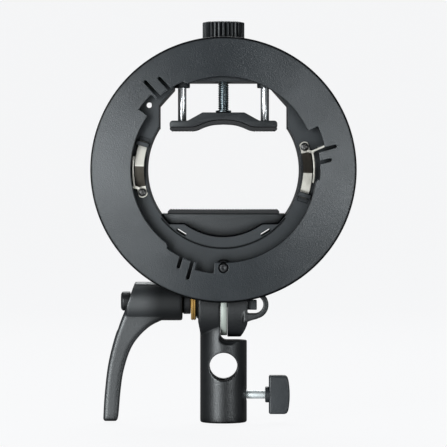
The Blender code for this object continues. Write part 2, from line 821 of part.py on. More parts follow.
def upper_jaw():
    jaw = plate("upper_jaw", [mirrored(UPPER_JAW)], *JAW_Y)
    cut(
        jaw,
        stepped("jaw_bore", ((BORE_R, 120.0, 134.6), (3.5, 134.6, 145.0))),
        *[
            pin("jaw_rod_" + side, 2.7, 129.2, 140, (sign * ROD_X, 0, 0), steps=16)
            for side, sign in SIDES
        ],
    )
    finish(jaw, BLACK_PLASTIC)
    pad = plate("upper_pad", [mirrored(UPPER_PAD)], *PAD_Y)
    cut(pad, pin("pad_bore", BORE_R, 120, 140, steps=16))
    finish(pad, RUBBER)


# ---------------------------------------------------------------- screw clamp
# profiles are (radius, z)
CLAMP_SCREW_PROFILE = [
    (0, 183.5), (SCREW_R, 183.5), (SCREW_R, 138.9), (4.6, 138.9), (4.6, 137.8),
    (SCREW_R, 137.8), (SCREW_R, 132.4), (2.7, 131.9), (0, 131.9),
]
KNOB_FOOT_PROFILE = [
    (0, 185), (10.1, 185), (10.1, 180.4), (9.6, 179.9), (5.65, 179.9), (5.65, 176.7), (0, 176.7),
]
KNOB_CROWN_PROFILE = [(0, 190.3), (10.4, 190.3), (11.5, 189.6), (11.5, 188.0), (0, 188.0)]
FLUTES = 28


def guide_rods():
    """The two rods either side of the clamp screw, and their bushes."""
    for side, sign in SIDES:
        place = (sign * ROD_X, 0, 0)
        bush = tube("guide_bush_" + side, 2.75, 4.6, 152.2, 169.8, place)
        finish(smooth(bush), BLACK_PLASTIC)
        rod = pin("guide_rod_" + side, ROD_R, 129.3, 163.6, place, chamfer=0.4)
        finish(smooth(rod), CHROME)


def clamp_screw():
    """The screw with the nut above it in the housing and the retainer at its foot."""
    finish(smooth(tube("clamp_nut", 3.5, 5.5, 156.0, 165.8)), BRASS)
    finish(smooth(turned("clamp_screw", CLAMP_SCREW_PROFILE, 28)), ZINC)
    finish(smooth(tube("screw_retainer", 3.3, 5.2, 133.0, 134.3, chamfer=0.2)), ZINC)


def clamp_knob():
    knob = plate("clamp_knob", [star((0, 0), 12.35, 11.5, FLUTES)], 181.4, 189.3, "XY")
    join(
        knob,
        turned("knob_foot", KNOB_FOOT_PROFILE, 20),
        turned("knob_crown", KNOB_CROWN_PROFILE, 20),
    )
    cut(knob, pin("knob_bore", 3.35, 170, 184.0, steps=16))
    finish(knob, BLACK_PLASTIC)


# ---------------------------------------------------------------- stand lock
# (x, height from the lock axis, corner radius)
LOCK_KNOB_CORNERS = (
    (26.7, -11.35, 1.2), (36.2, -11.35, 2.5), (38.8, -5.5, 6.0),
    (38.8, 5.5, 6.0), (36.2, 11.35, 2.5), (26.7, 11.35, 1.2),
)


def stand_lock_screw():
    finish(smooth(pin("stand_lock_pad", 2.3, 8.4, 11.3, LOCK, "x", 20, 0.3)), BRASS)
    screw = pin("stand_lock_screw", 2.5, 11.5, 32.0, LOCK, "x", 20, 0.4)
    finish(smooth(screw), BLACK_STEEL)


def stand_lock_knob():
    points = [(x, LOCK[2] + rise) for x, rise, _ in LOCK_KNOB_CORNERS]
    radii = [radius for _, _, radius in LOCK_KNOB_CORNERS]
    knob = plate("stand_lock_knob", [rounded(points, radii, 20)], -4.5, 4.5)
    bevel(knob, 1.0, 40)
    join(knob, pin("knob_collar", 4.7, 24.6, 29.0, LOCK, "x"))
    cut(knob, pin("lock_knob_bore", 2.7, 20.0, 32.4, LOCK, "x", 20))
    finish(knob, BLACK_PLASTIC)


# ---------------------------------------------------------------- assembly
stand_adapter()
tilt_discs()
tilt_bolt()
lever_insert()
lever_screw()
tilt_lever()
lever_spring()
tilt_nut()
swivel_lug()
umbrella_grip()
lug_screws()
housing()
front_ring()
ring_screws()
for leaf_side, leaf_turn in LEAF_TURNS:
    leaf_spring(leaf_side, leaf_turn)
    leaf_screw(leaf_side, leaf_turn)
lock_pin()
pin_release_lever()
lower_jaw()
guide_rods()
upper_jaw()
clamp_screw()
clamp_knob()
stand_lock_screw()
stand_lock_knob()

# origins on the joint axes: place, then the pieces that turn or slide there
JOINTS = (
    (TILT, "tilt_bolt lever_insert lever_screw tilt_lever lever_spring"),
    (TILT, "front_ring housing swivel_lug tilt_nut"),
    ((0, 0, 137.5), "clamp_screw"),
    ((0, 0, 181.4), "clamp_knob"),
    ((0, 0, 133.6), "screw_retainer"),
    ((0, 0, 132.0), "upper_jaw upper_pad"),
    (PIN, "lock_pin pin_release_lever lock_pin_spring"),
    (LOCK, "stand_lock_pad stand_lock_screw stand_lock_knob"),
    ((8.3, GRIP[1], GRIP[2]), "umbrella_grip_block umbrella_grip_spring"),
)
for joint, names in JOINTS:
    for piece_name in names.split():
        set_origin(bpy.data.objects[piece_name], joint)

# the additions and cuts are worked out once, when every helper is in place
for piece in BRACKET.objects:
    for modifier in piece.modifiers:
        modifier.show_viewport = modifier.show_render = True
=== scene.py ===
"""A clamp head for a stand.

A housing with a bayonet ring on its front face holds two padded jaws; the upper one is driven
down by a knurled screw. Below it a swivel lug turns on a tilt joint with a hand lever, and the
tubular adapter under the joint is locked by a wing knob.

Z is up, the front faces -Y, and the stand and the clamp screw share the Z axis. Lengths are in
millimetres and become metres where meshes are made; stage, lights and camera are in metres.
"""
import contextlib
import json
import math

import bmesh
import bpy
from mathutils import Matrix, Vector

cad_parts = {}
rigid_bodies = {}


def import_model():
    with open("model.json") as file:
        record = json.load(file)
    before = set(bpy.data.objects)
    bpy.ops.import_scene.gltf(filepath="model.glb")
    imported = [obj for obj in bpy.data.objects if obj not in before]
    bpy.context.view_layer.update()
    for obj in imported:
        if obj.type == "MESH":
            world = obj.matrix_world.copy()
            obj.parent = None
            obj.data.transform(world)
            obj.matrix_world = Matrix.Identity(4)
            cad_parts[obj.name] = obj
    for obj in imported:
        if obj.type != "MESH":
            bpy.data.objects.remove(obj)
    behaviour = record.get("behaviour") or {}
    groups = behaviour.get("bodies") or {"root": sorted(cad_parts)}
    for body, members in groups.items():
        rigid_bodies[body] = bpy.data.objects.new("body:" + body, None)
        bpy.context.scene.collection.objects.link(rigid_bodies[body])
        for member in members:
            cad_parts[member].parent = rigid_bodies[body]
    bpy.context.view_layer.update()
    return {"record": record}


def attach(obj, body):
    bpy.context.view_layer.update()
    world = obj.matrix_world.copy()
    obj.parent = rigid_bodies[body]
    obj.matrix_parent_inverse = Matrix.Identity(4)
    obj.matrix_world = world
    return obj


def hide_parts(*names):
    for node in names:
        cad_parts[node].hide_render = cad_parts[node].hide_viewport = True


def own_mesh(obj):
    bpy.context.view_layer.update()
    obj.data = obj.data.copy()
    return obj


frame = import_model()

MM = 0.001
SCENE = bpy.context.scene
NODE_BODY = {
    node: body
    for body, nodes in frame["record"]["behaviour"]["bodies"].items()
    for node in nodes
}
SLOTS = {part["node"]: part["material_slot"] for part in frame["record"]["subparts"]}

# Axes: the ring and lock pin lie along Y, the tilt joint and stand lock along X
RING_Z, TILT_Z, PIN_Z, LOCK_Z = 104.0, 26.4, 47.0, -28.8
TILT, PIN, LOCK = (0, 0, TILT_Z), (0, 0, PIN_Z), (0, 0, LOCK_Z)
RING_MID, TILT_MID = (0, RING_Z), (0, TILT_Z)  # the same axes in the plane of an outline

# Places shared by several pieces
TILT_BORE, DISC_R = 4.4, 20.2
LUG_SCREWS, LUG_SCREW_Y = (("left", -7.0), ("right", 11.0)), 19.0
GUIDES = (("left", -24.4), ("right", 24.4))
SCREW_ANGLES, SCREW_CIRCLE = (30.0, 150.0, 210.0, 330.0), 64.0
LEAF_R, LEAF_SCREW = 49.0, 15.7  # radius of the leaf springs, angle of their screws
FLOOR = (-24.5, -21.5)  # front and back of the housing's plate, along Y


# ------------------------------------------------------------------ meshes and objects
def new_object(name, mesh):
    obj = bpy.data.objects.new(name, mesh)
    SCENE.collection.objects.link(obj)
    return obj


def object_from(name, form):
    """An object made from a bmesh, which is freed."""
    mesh = bpy.data.meshes.new(name)
    form.to_mesh(mesh)
    form.free()
    return new_object(name, mesh)


@contextlib.contextmanager
def editing(mesh):
    form = bmesh.new()
    form.from_mesh(mesh)
    yield form
    form.to_mesh(mesh)
    form.free()


def evaluated_mesh(obj):
    bpy.context.view_layer.update()
    graph = bpy.context.evaluated_depsgraph_get()
    return bpy.data.meshes.new_from_object(obj.evaluated_get(graph))


def settle(name, work, matrix):
    """Turns a work object into a placed, welded mesh."""
    mesh = evaluated_mesh(work)
    data = work.data
    bpy.data.objects.remove(work, do_unlink=True)
    if isinstance(data, bpy.types.Curve):
        bpy.data.curves.remove(data)
    mesh.transform(matrix)
    with editing(mesh) as form:
        bmesh.ops.remove_doubles(form, verts=form.verts, dist=2e-6)
        bmesh.ops.recalc_face_normals(form, faces=form.faces)
    return new_object(name, mesh)


def bake(obj):
    mesh = evaluated_mesh(obj)
    obj.modifiers.clear()
    obj.data = mesh
    return obj


# ------------------------------------------------------------------ basic forms
# Lays a form made about Z along the named axis
SPIN = {
    "z": Matrix.Identity(4),
    "x": Matrix.Rotation(math.radians(90), 4, "Y"),
    "y": Matrix.Rotation(math.radians(-90), 4, "X"),
}


def placed(centre, axis):
    return Matrix.Translation(Vector(centre) * MM) @ SPIN[axis]


def turned(name, profile, centre=(0, 0, 0), axis="z", steps=64, ring=False):
    """A profile of (radius, place along the axis) turned about the axis."""
    mesh = bpy.data.meshes.new(name)
    points = [(radius * MM, 0.0, along * MM) for radius, along in profile]
    edges = [(i, i + 1) for i in range(len(points) - 1)]
    if ring:
        edges.append((len(points) - 1, 0))
    mesh.from_pydata(points, edges, [])
    work = new_object(name + "_work", mesh)
    screw = work.modifiers.new("turn", "SCREW")
    screw.axis = "Z"
    screw.steps = screw.render_steps = steps
    screw.use_merge_vertices = True
    screw.merge_threshold = 1e-6
    return settle(name, work, placed(centre, axis))


def pin(name, radius, low, high, centre=(0, 0, 0), axis="z", steps=48, round_by=0.0):
    rims = [(radius, high), (radius, low)]
    if round_by:
        flat = radius - round_by
        swing = [
            (round_by * math.sin(math.radians(a)), round_by * math.cos(math.radians(a)))
            for a in (0, 30, 60, 90)
        ]
        rims = [(flat + s, high - round_by + c) for s, c in swing]
        rims += [(flat + c, low + round_by - s) for s, c in swing]
    return turned(name, [(0, high)] + rims + [(0, low)], centre, axis, steps)


def tube(name, inner, outer, low, high, centre=(0, 0, 0), axis="z", steps=64, chamfer=0.3):
    half = chamfer * 0.35
    profile = [
        (inner + half, high), (outer - chamfer, high), (outer - half, high - half),
        (outer, high - chamfer), (outer, low + chamfer), (outer - half, low + half),
        (outer - chamfer, low), (inner + half, low), (inner, low + half), (inner, high - half),
    ]
    return turned(name, profile, centre, axis, steps, ring=True)


def stepped(name, spans, centre, axis):
    """Stacked cylinders, each given as (radius, low, high)."""
    profile = [(0, spans[-1][2])]
    for radius, low, high in reversed(spans):
        profile += [(radius, high), (radius, low)]
    return turned(name, profile + [(0, spans[0][1])], centre, axis, 40)


def block(name, low, high):
    low, high = Vector(low) * MM, Vector(high) * MM
    fit = Matrix.Translation((low + high) / 2) @ Matrix.Diagonal((*(high - low), 1.0))
    form = bmesh.new()
    bmesh.ops.create_cube(form, size=1.0, matrix=fit)
    return object_from(name, form)


def turned_block(name, low, high, centre, angle):
    """A block turned about Y by radians, then moved to a centre in metres."""
    bar = block(name, low, high)
    bar.data.transform(Matrix.Translation(centre) @ Matrix.Rotation(angle, 4, "Y"))
    return bar


def ball(name, centre, radius, stretch):
    fit = Matrix.Translation(Vector(centre) * MM) @ Matrix.Diagonal((*stretch, 1.0))
    form = bmesh.new()
    bmesh.ops.create_uvsphere(form, u_segments=48, v_segments=24, radius=radius * MM, matrix=fit)
    return object_from(name, form)


# Each plane of an outline: the matrix that lays it there and the direction across it
PLANES = {
    "XZ": (Matrix(((1, 0, 0, 0), (0, 0, -1, 0), (0, 1, 0, 0), (0, 0, 0, 1))), Vector((0, 1, 0))),
    "YZ": (Matrix(((0, 0, 1, 0), (1, 0, 0, 0), (0, 1, 0, 0), (0, 0, 0, 1))), Vector((1, 0, 0))),
    "XY": (Matrix.Identity(4), Vector((0, 0, 1))),
}


def plate(name, loops, low, high, plane="XZ", round_by=0.0, resolution=2):
    """Closed outlines filled from low to high across the plane, with rounded rims when asked."""
    curve = bpy.data.curves.new(name, "CURVE")
    curve.dimensions = "2D"
    curve.fill_mode = "BOTH"
    curve.extrude = ((high - low) / 2 - round_by) * MM
    if round_by:
        curve.bevel_depth = round_by * MM
        curve.bevel_resolution = resolution
        curve.offset = -round_by * MM
    for loop in loops:
        spline = curve.splines.new("POLY")
        spline.points.add(len(loop) - 1)
        for point, (across, up) in zip(spline.points, loop):
            point.co = (across * MM, up * MM, 0.0, 1.0)
        spline.use_cyclic_u = True
    work = new_object(name + "_work", curve)
    lay, normal = PLANES[plane]
    return settle(name, work, Matrix.Translation(normal * ((low + high) / 2 * MM)) @ lay)


def coil(name, centre, axis, low, high, radius, wire, turns):
    """A compression spring whose end turns lie closed."""
    curve = bpy.data.curves.new(name, "CURVE")
    curve.dimensions = "3D"
    curve.bevel_depth = wire * MM
    curve.bevel_resolution = 3
    curve.use_fill_caps = True
    spline = curve.splines.new("POLY")
    count = int(turns * 36) + 1
    spline.points.add(count - 1)
    closed = 0.75 / turns
    for i, point in enumerate(spline.points):
        share = i / (count - 1)
        angle = 2 * math.pi * turns * share
        pitch = min(1.0, max(0.0, (share - closed) / (1 - 2 * closed)))
        rise = (
            low + wire * (1 + 1.2 * min(1, share / closed))
            + (high - low - wire * 4.4) * pitch
            + wire * 1.2 * max(0.0, (share - 1 + closed) / closed)
        )
        x, y = radius * math.cos(angle), radius * math.sin(angle)
        point.co = (x * MM, y * MM, rise * MM, 1.0)
    work = new_object(name + "_work", curve)
    return settle(name, work, placed(centre, axis))


def thread(name, centre, axis, low, high, radius, depth, pitch, around):
    """A rolled screw thread with closed, chamfered ends."""
    rows = int((high - low) / pitch * 8)
    verts, faces = [], []
    for j in range(rows + 1):
        along = low + (high - low) * j / rows
        end = min(1.0, min(along - low, high - along) / pitch)
        for i in range(around):
            angle = 2 * math.pi * i / around
            phase = (along / pitch - i / around) % 1.0
            groove = max(0.0, 1.0 - abs(phase - 0.5) * 2.6)
            reach = radius - depth * min(1.0, groove * 1.15) - depth * (1 - end)
            verts.append(
                (reach * math.cos(angle) * MM, reach * math.sin(angle) * MM, along * MM)
            )
    for j in range(rows):
        row, above = j * around, (j + 1) * around
        for i in range(around):
            k = (i + 1) % around
            faces.append((row + i, row + k, above + k, above + i))
    faces.append(tuple(reversed(range(around))))
    faces.append(tuple(rows * around + i for i in range(around)))
    mesh = bpy.data.meshes.new(name)
    mesh.from_pydata(verts, [], faces)
    obj = new_object(name, mesh)
    mesh.transform(placed(centre, axis))
    return obj


# ------------------------------------------------------------------ combining and finishing
def boolean(obj, others, operation):
    group = bpy.data.collections.new("operands")
    SCENE.collection.children.link(group)
    for other in others:
        group.objects.link(other)
        SCENE.collection.objects.unlink(other)
    step = obj.modifiers.new("boolean", "BOOLEAN")
    step.operation = operation
    step.solver = "EXACT"
    step.operand_type = "COLLECTION"
    step.collection = group
    bake(obj)
    for other in list(group.objects):
        bpy.data.objects.remove(other, do_unlink=True)
    bpy.data.collections.remove(group)


def cut(obj, *others):
    boolean(obj, others, "DIFFERENCE")


def join(obj, *others):
    boolean(obj, others, "UNION")


def gather(obj, *others):
    """One piece made of several closed forms."""
    with editing(obj.data) as form:
        for other in others:
            form.from_mesh(other.data)
            bpy.data.objects.remove(other, do_unlink=True)


def shade_faces(mesh):
    for face in mesh.polygons:
        face.use_smooth = True


def soften(obj, width, segments=2):
    """Small rounded edges with even shading on the flats."""
    with editing(obj.data) as form:
        bmesh.ops.remove_doubles(form, verts=form.verts, dist=0.02 * MM)
        bmesh.ops.dissolve_limit(
            form, angle_limit=math.radians(1.0), verts=form.verts, edges=form.edges
        )
    step = obj.modifiers.new("edges", "BEVEL")
    step.width = width * MM
    step.segments = segments
    step.limit_method = "ANGLE"
    step.angle_limit = math.radians(32.0)
    step.use_clamp_overlap = False
    step.harden_normals = False
    shade_faces(obj.data)
    even = obj.modifiers.new("even", "WEIGHTED_NORMAL")
    even.weight = 80
    even.keep_sharp = True
    return obj


def cast(obj, voxel, passes):
    """Blends joined forms the way a casting's fillets do."""
    step = obj.modifiers.new("skin", "REMESH")
    step.mode = "VOXEL"
    step.voxel_size = voxel * MM
    step.use_smooth_shade = True
    fillet = obj.modifiers.new("fillet", "SMOOTH")
    fillet.factor = 0.5
    fillet.iterations = passes
    bake(obj)
    shade_faces(obj.data)


def smooth(obj, angle=40.0):
    obj.data.shade_smooth()
    obj.data.set_sharp_from_angle(angle=math.radians(angle))
    return obj


# ------------------------------------------------------------------ outlines
def arc(centre, radius, start, end, step=3.0):
    count = max(1, math.ceil(abs(end - start) / step))
    angles = [math.radians(start + (end - start) * i / count) for i in range(count + 1)]
    return [
        (centre[0] + radius * math.cos(angle), centre[1] + radius * math.sin(angle))
        for angle in angles
    ]


def polar(radius, angle):
    """(x, z) at a radius and angle about the ring's axis."""
    turn = math.radians(angle)
    return radius * math.cos(turn), RING_Z + radius * math.sin(turn)


def on_ring(radius, angle):
    x, z = polar(radius, angle)
    return x, 0, z


def circle(centre, radius, count):
    return arc(centre, radius, 0.0, 360.0, 360.0 / count)[:-1]


def hexagon(centre, radius, start=0):
    return arc(centre, radius, start, start + 360, 60)[:-1]


def stadium(start, end, half):
    heading = math.degrees(math.atan2(end[1] - start[1], end[0] - start[0]))
    return (
        arc(end, half, heading - 90, heading + 90, 20.0)
        + arc(start, half, heading + 90, heading + 270, 20.0)
    )


def mirrored(right):
    """Closes the right half of an outline with its mirror image."""
    return right + [(-x, z) for x, z in reversed(right) if abs(x) > 1e-6]


def single(points):
    """The points in single precision."""
    return [tuple(Vector(point)) for point in points]


def rounded(points, radius, step=15.0):
    """An outline with its corners rounded by one radius, or by one for each corner."""
    radii = radius if isinstance(radius, list) else [radius] * len(points)
    out = []
    for i, (point, size) in enumerate(zip(points, radii)):
        here = Vector(point)
        before = Vector(points[i - 1]) - here
        after = Vector(points[(i + 1) % len(points)]) - here
        if size <= 0:
            out.append(tuple(here))
            continue
        turn = before.angle(after)
        reach = min(size / math.tan(turn / 2), before.length * 0.49, after.length * 0.49)
        size = reach * math.tan(turn / 2)
        first = here + before.normalized() * reach
        last = here + after.normalized() * reach
        inward = (before.normalized() + after.normalized()).normalized()
        middle = here + inward * (size / math.sin(turn / 2))
        sweep = math.pi - turn
        count = max(1, math.ceil(math.degrees(sweep) / step))
        arm, far = first - middle, last - middle
        start = math.atan2(*arm.yx)
        side = math.copysign(1.0, arm.x * far.y - arm.y * far.x)
        for k in range(count + 1):
            angle = start + side * sweep * k / count
            out.append((middle.x + size * math.cos(angle), middle.y + size * math.sin(angle)))
    return out


def spline_through(points, per_span):
    """A smooth chain through points (Catmull-Rom)."""
    out, last = [], len(points) - 1
    for i in range(last):
        near = (points[max(i - 1, 0)], points[i], points[i + 1], points[min(i + 2, last)])
        for k in range(per_span):
            t = k / per_span
            out.append(tuple(
                0.5 * (
                    2 * start + (end - before) * t
                    + (2 * before - 5 * start + 4 * end - after) * t * t
                    + (3 * start - before - 3 * end + after) * t ** 3
                )
                for before, start, end, after in zip(*near)
            ))
    out.append(tuple(points[-1]))
    return out


# ------------------------------------------------------------------ shader tools
class Graph:
    """Adds nodes to a tree. An input given a socket is linked; any other value is set."""

    def __init__(self, tree):
        self.tree = tree

    def first(self, kind):
        return next(node for node in self.tree.nodes if node.type == kind)

    def feed(self, node, inputs):
        for key, value in inputs.items():
            if isinstance(value, bpy.types.NodeSocket):
                self.tree.links.new(value, node.inputs[key])
            else:
                node.inputs[key].default_value = value
        return node

    def add(self, kind, inputs, **settings):
        node = self.tree.nodes.new("ShaderNode" + kind)
        for key, value in settings.items():
            setattr(node, key, value)
        return self.feed(node, inputs)

    def math(self, operation, *values, **settings):
        values = dict(enumerate(values))
        return self.add("Math", values, operation=operation, **settings).outputs[0]

    def vector(self, operation, inputs, output="Vector"):
        return self.add("VectorMath", inputs, operation=operation).outputs[output]

    def blend(self, inputs):
        return self.add("Mix", inputs, data_type="RGBA").outputs["Result"]

    def span(self, value, start=0.0, end=1.0, low=0.0, high=1.0, **settings):
        """Maps start..end to low..high."""
        inputs = {
            "Value": value, "From Min": start, "From Max": end, "To Min": low, "To Max": high,
        }
        return self.add("MapRange", inputs, **settings).outputs["Result"]

    def off_true(self, radius, samples, normal):
        """How well a normal rounded over a radius agrees with the surface's own."""
        soft = self.add("Bevel", {"Radius": radius}, samples=samples).outputs["Normal"]
        return self.vector("DOT_PRODUCT", {0: soft, 1: normal}, "Value")


def new_material(name):
    material = bpy.data.materials.new(name)
    material.use_nodes = True
    graph = Graph(material.node_tree)
    return material, graph, graph.first("BSDF_PRINCIPLED")


def scratched(graph, place, colour, light, strength):
    """A few fine rub marks, long in one direction."""
    skew = graph.add("Mapping", {
        "Vector": place, "Scale": (12.0, 1.0, 0.35), "Rotation": (0.0, 0.5, 0.0),
    })
    lines = graph.add("TexNoise", {"Vector": skew.outputs["Vector"], "Scale": 60.0, "Detail": 2.0})
    keen = graph.span(lines.outputs["Fac"], start=0.66, end=0.72, high=strength)
    paler = [min(1.0, channel * 1.8 + 0.01) for channel in light]
    return graph.blend({"Factor": keen, "A": colour, "B": (*paler, 1)})


def painted_light_share(graph, place, normal, painted_corner_shade, painted_rim_shade, painted_lip_shade, painted_fade):
    """The painted share of light: painted shade in corners, on rounded rims and in shaded zones."""
    # painted shade in corners, from ambient occlusion
    hollow = graph.add("AmbientOcclusion", {"Distance": 0.006}, samples=6)
    share = graph.span(hollow.outputs["AO"], start=0.35, end=0.95, low=1.0 - painted_corner_shade)
    # painted shade on rounded rims
    if painted_rim_shade:
        agree = graph.off_true(0.0011, 6, normal)
        band = graph.span(agree, start=0.88, end=0.995, low=1.0 - painted_rim_shade)
        share = graph.math("MULTIPLY", share, band)
    if painted_lip_shade:
        # painted shade: the rolled outer and inner edges of the ring are darkened where they fall
        # away from the light
        local = graph.vector("SUBTRACT", {0: place, 1: (0.0, 0.0, RING_Z * MM)})
        flat = graph.vector("MULTIPLY", {0: local, 1: (1.0, 0.0, 1.0)})
        radius = graph.vector("LENGTH", {0: flat}, "Value")
        for start, end, low, high in ((0.0758, 0.0767, 1.0, 0.06), (0.0539, 0.0546, 0.25, 1.0)):
            band = graph.span(radius, start, end, low, high)
            share = graph.math("MULTIPLY", share, band)
    if painted_fade:
        # painted shade: light falls from full at the first X to the given share at the second
        start, end, least = painted_fade
        split = graph.add("SeparateXYZ", {0: place})
        band = graph.span(
            split.outputs["X"], start, end, low=1.0, high=least, interpolation_type="SMOOTHSTEP"
        )
        share = graph.math("MULTIPLY", share, band)
    return share


# ------------------------------------------------------------------ finishes
def surface(
    name, *, dark, light, rough, metallic=0.0, specular=0.5,
    grain=900.0,  # scale of the fine noise
    brushed=None,  # stretch of the fine noise along X, Y and Z
    bump=0.05,
    blotch=25.0,  # scale of the uneven tone and sheen
    wear=0.15, wear_colour=(0.2, 0.2, 0.2),
    scratches=0.0,
    turned_grain=0.0,  # anisotropy of concentric tool marks about Y
    painted_corner_shade=0.0, painted_rim_shade=0.0,  # painted shade in corners and on rounded rims
    painted_lip_shade=False, painted_fade=None,
):
    """A finish with grain, uneven tone and sheen, worn edges, and painted shade where asked."""
    material, graph, shader = new_material(name)
    graph.feed(shader, {
        "Metallic": metallic, "Specular IOR Level": specular, "Coat Roughness": 0.25,
    })
    if not metallic:
        graph.feed(shader, {"Specular Tint": (0.95, 0.985, 1.0, 1)})
    if turned_grain:
        # the marks spread the reflections outwards from the axis
        tangent = graph.add("Tangent", {}, direction_type="RADIAL", axis="Y")
        graph.feed(shader, {
            "Anisotropic": turned_grain,
            "Anisotropic Rotation": 0.25,
            "Tangent": tangent.outputs["Tangent"],
        })
    place = graph.add("TexCoord", {}).outputs["Object"]
    cloud = graph.add("TexNoise", {
        "Vector": place, "Scale": blotch, "Detail": 5.0, "Roughness": 0.6,
    }).outputs["Fac"]
    fine_place = place
    if brushed:
        stretch = graph.add("Mapping", {"Vector": place, "Scale": brushed})
        fine_place = stretch.outputs["Vector"]
    fine = graph.add("TexNoise", {
        "Vector": fine_place, "Scale": grain, "Detail": 3.0,
    }).outputs["Fac"]

    # tone between dark and light: 0.45 of the grain plus the widened cloud
    mixed = graph.math("MULTIPLY_ADD", fine, 0.45)
    graph.feed(mixed.node, {2: graph.math("MULTIPLY_ADD", cloud, 1.3, -0.37)})
    tone = graph.blend({"Factor": mixed, "A": (*dark, 1), "B": (*light, 1)})

    # worn edges: where a rounded normal leaves the surface's own
    normal = graph.add("NewGeometry", {}).outputs["Normal"]
    agree = graph.off_true(0.0007, 4, normal)
    edge = graph.span(agree, start=0.985, end=0.86, high=wear)
    patchy = graph.math("MULTIPLY", edge, cloud)
    colour = graph.blend({"Factor": patchy, "A": tone, "B": (*wear_colour, 1)})

    uneven = 0.16 if metallic < 0.7 else 0.03
    sheen = graph.math("MULTIPLY_ADD", cloud, uneven, rough - uneven / 2, use_clamp=True)
    if scratches:
        colour = scratched(graph, place, colour, light, scratches)
    # the painted shade darkens the colour and the specular level
    if painted_corner_shade:
        share = painted_light_share(graph, place, normal, painted_corner_shade, painted_rim_shade, painted_lip_shade, painted_fade)
        colour = graph.vector("SCALE", {0: colour, "Scale": share})
        shaded_specular = graph.math("MULTIPLY", share, specular)
        graph.feed(shader, {"Specular IOR Level": shaded_specular})
    relief = graph.add("Bump", {"Strength": bump, "Distance": 0.0003, "Height": fine})
    graph.feed(shader, {
        "Base Color": colour, "Roughness": sheen, "Normal": relief.outputs["Normal"],
    })
    return material


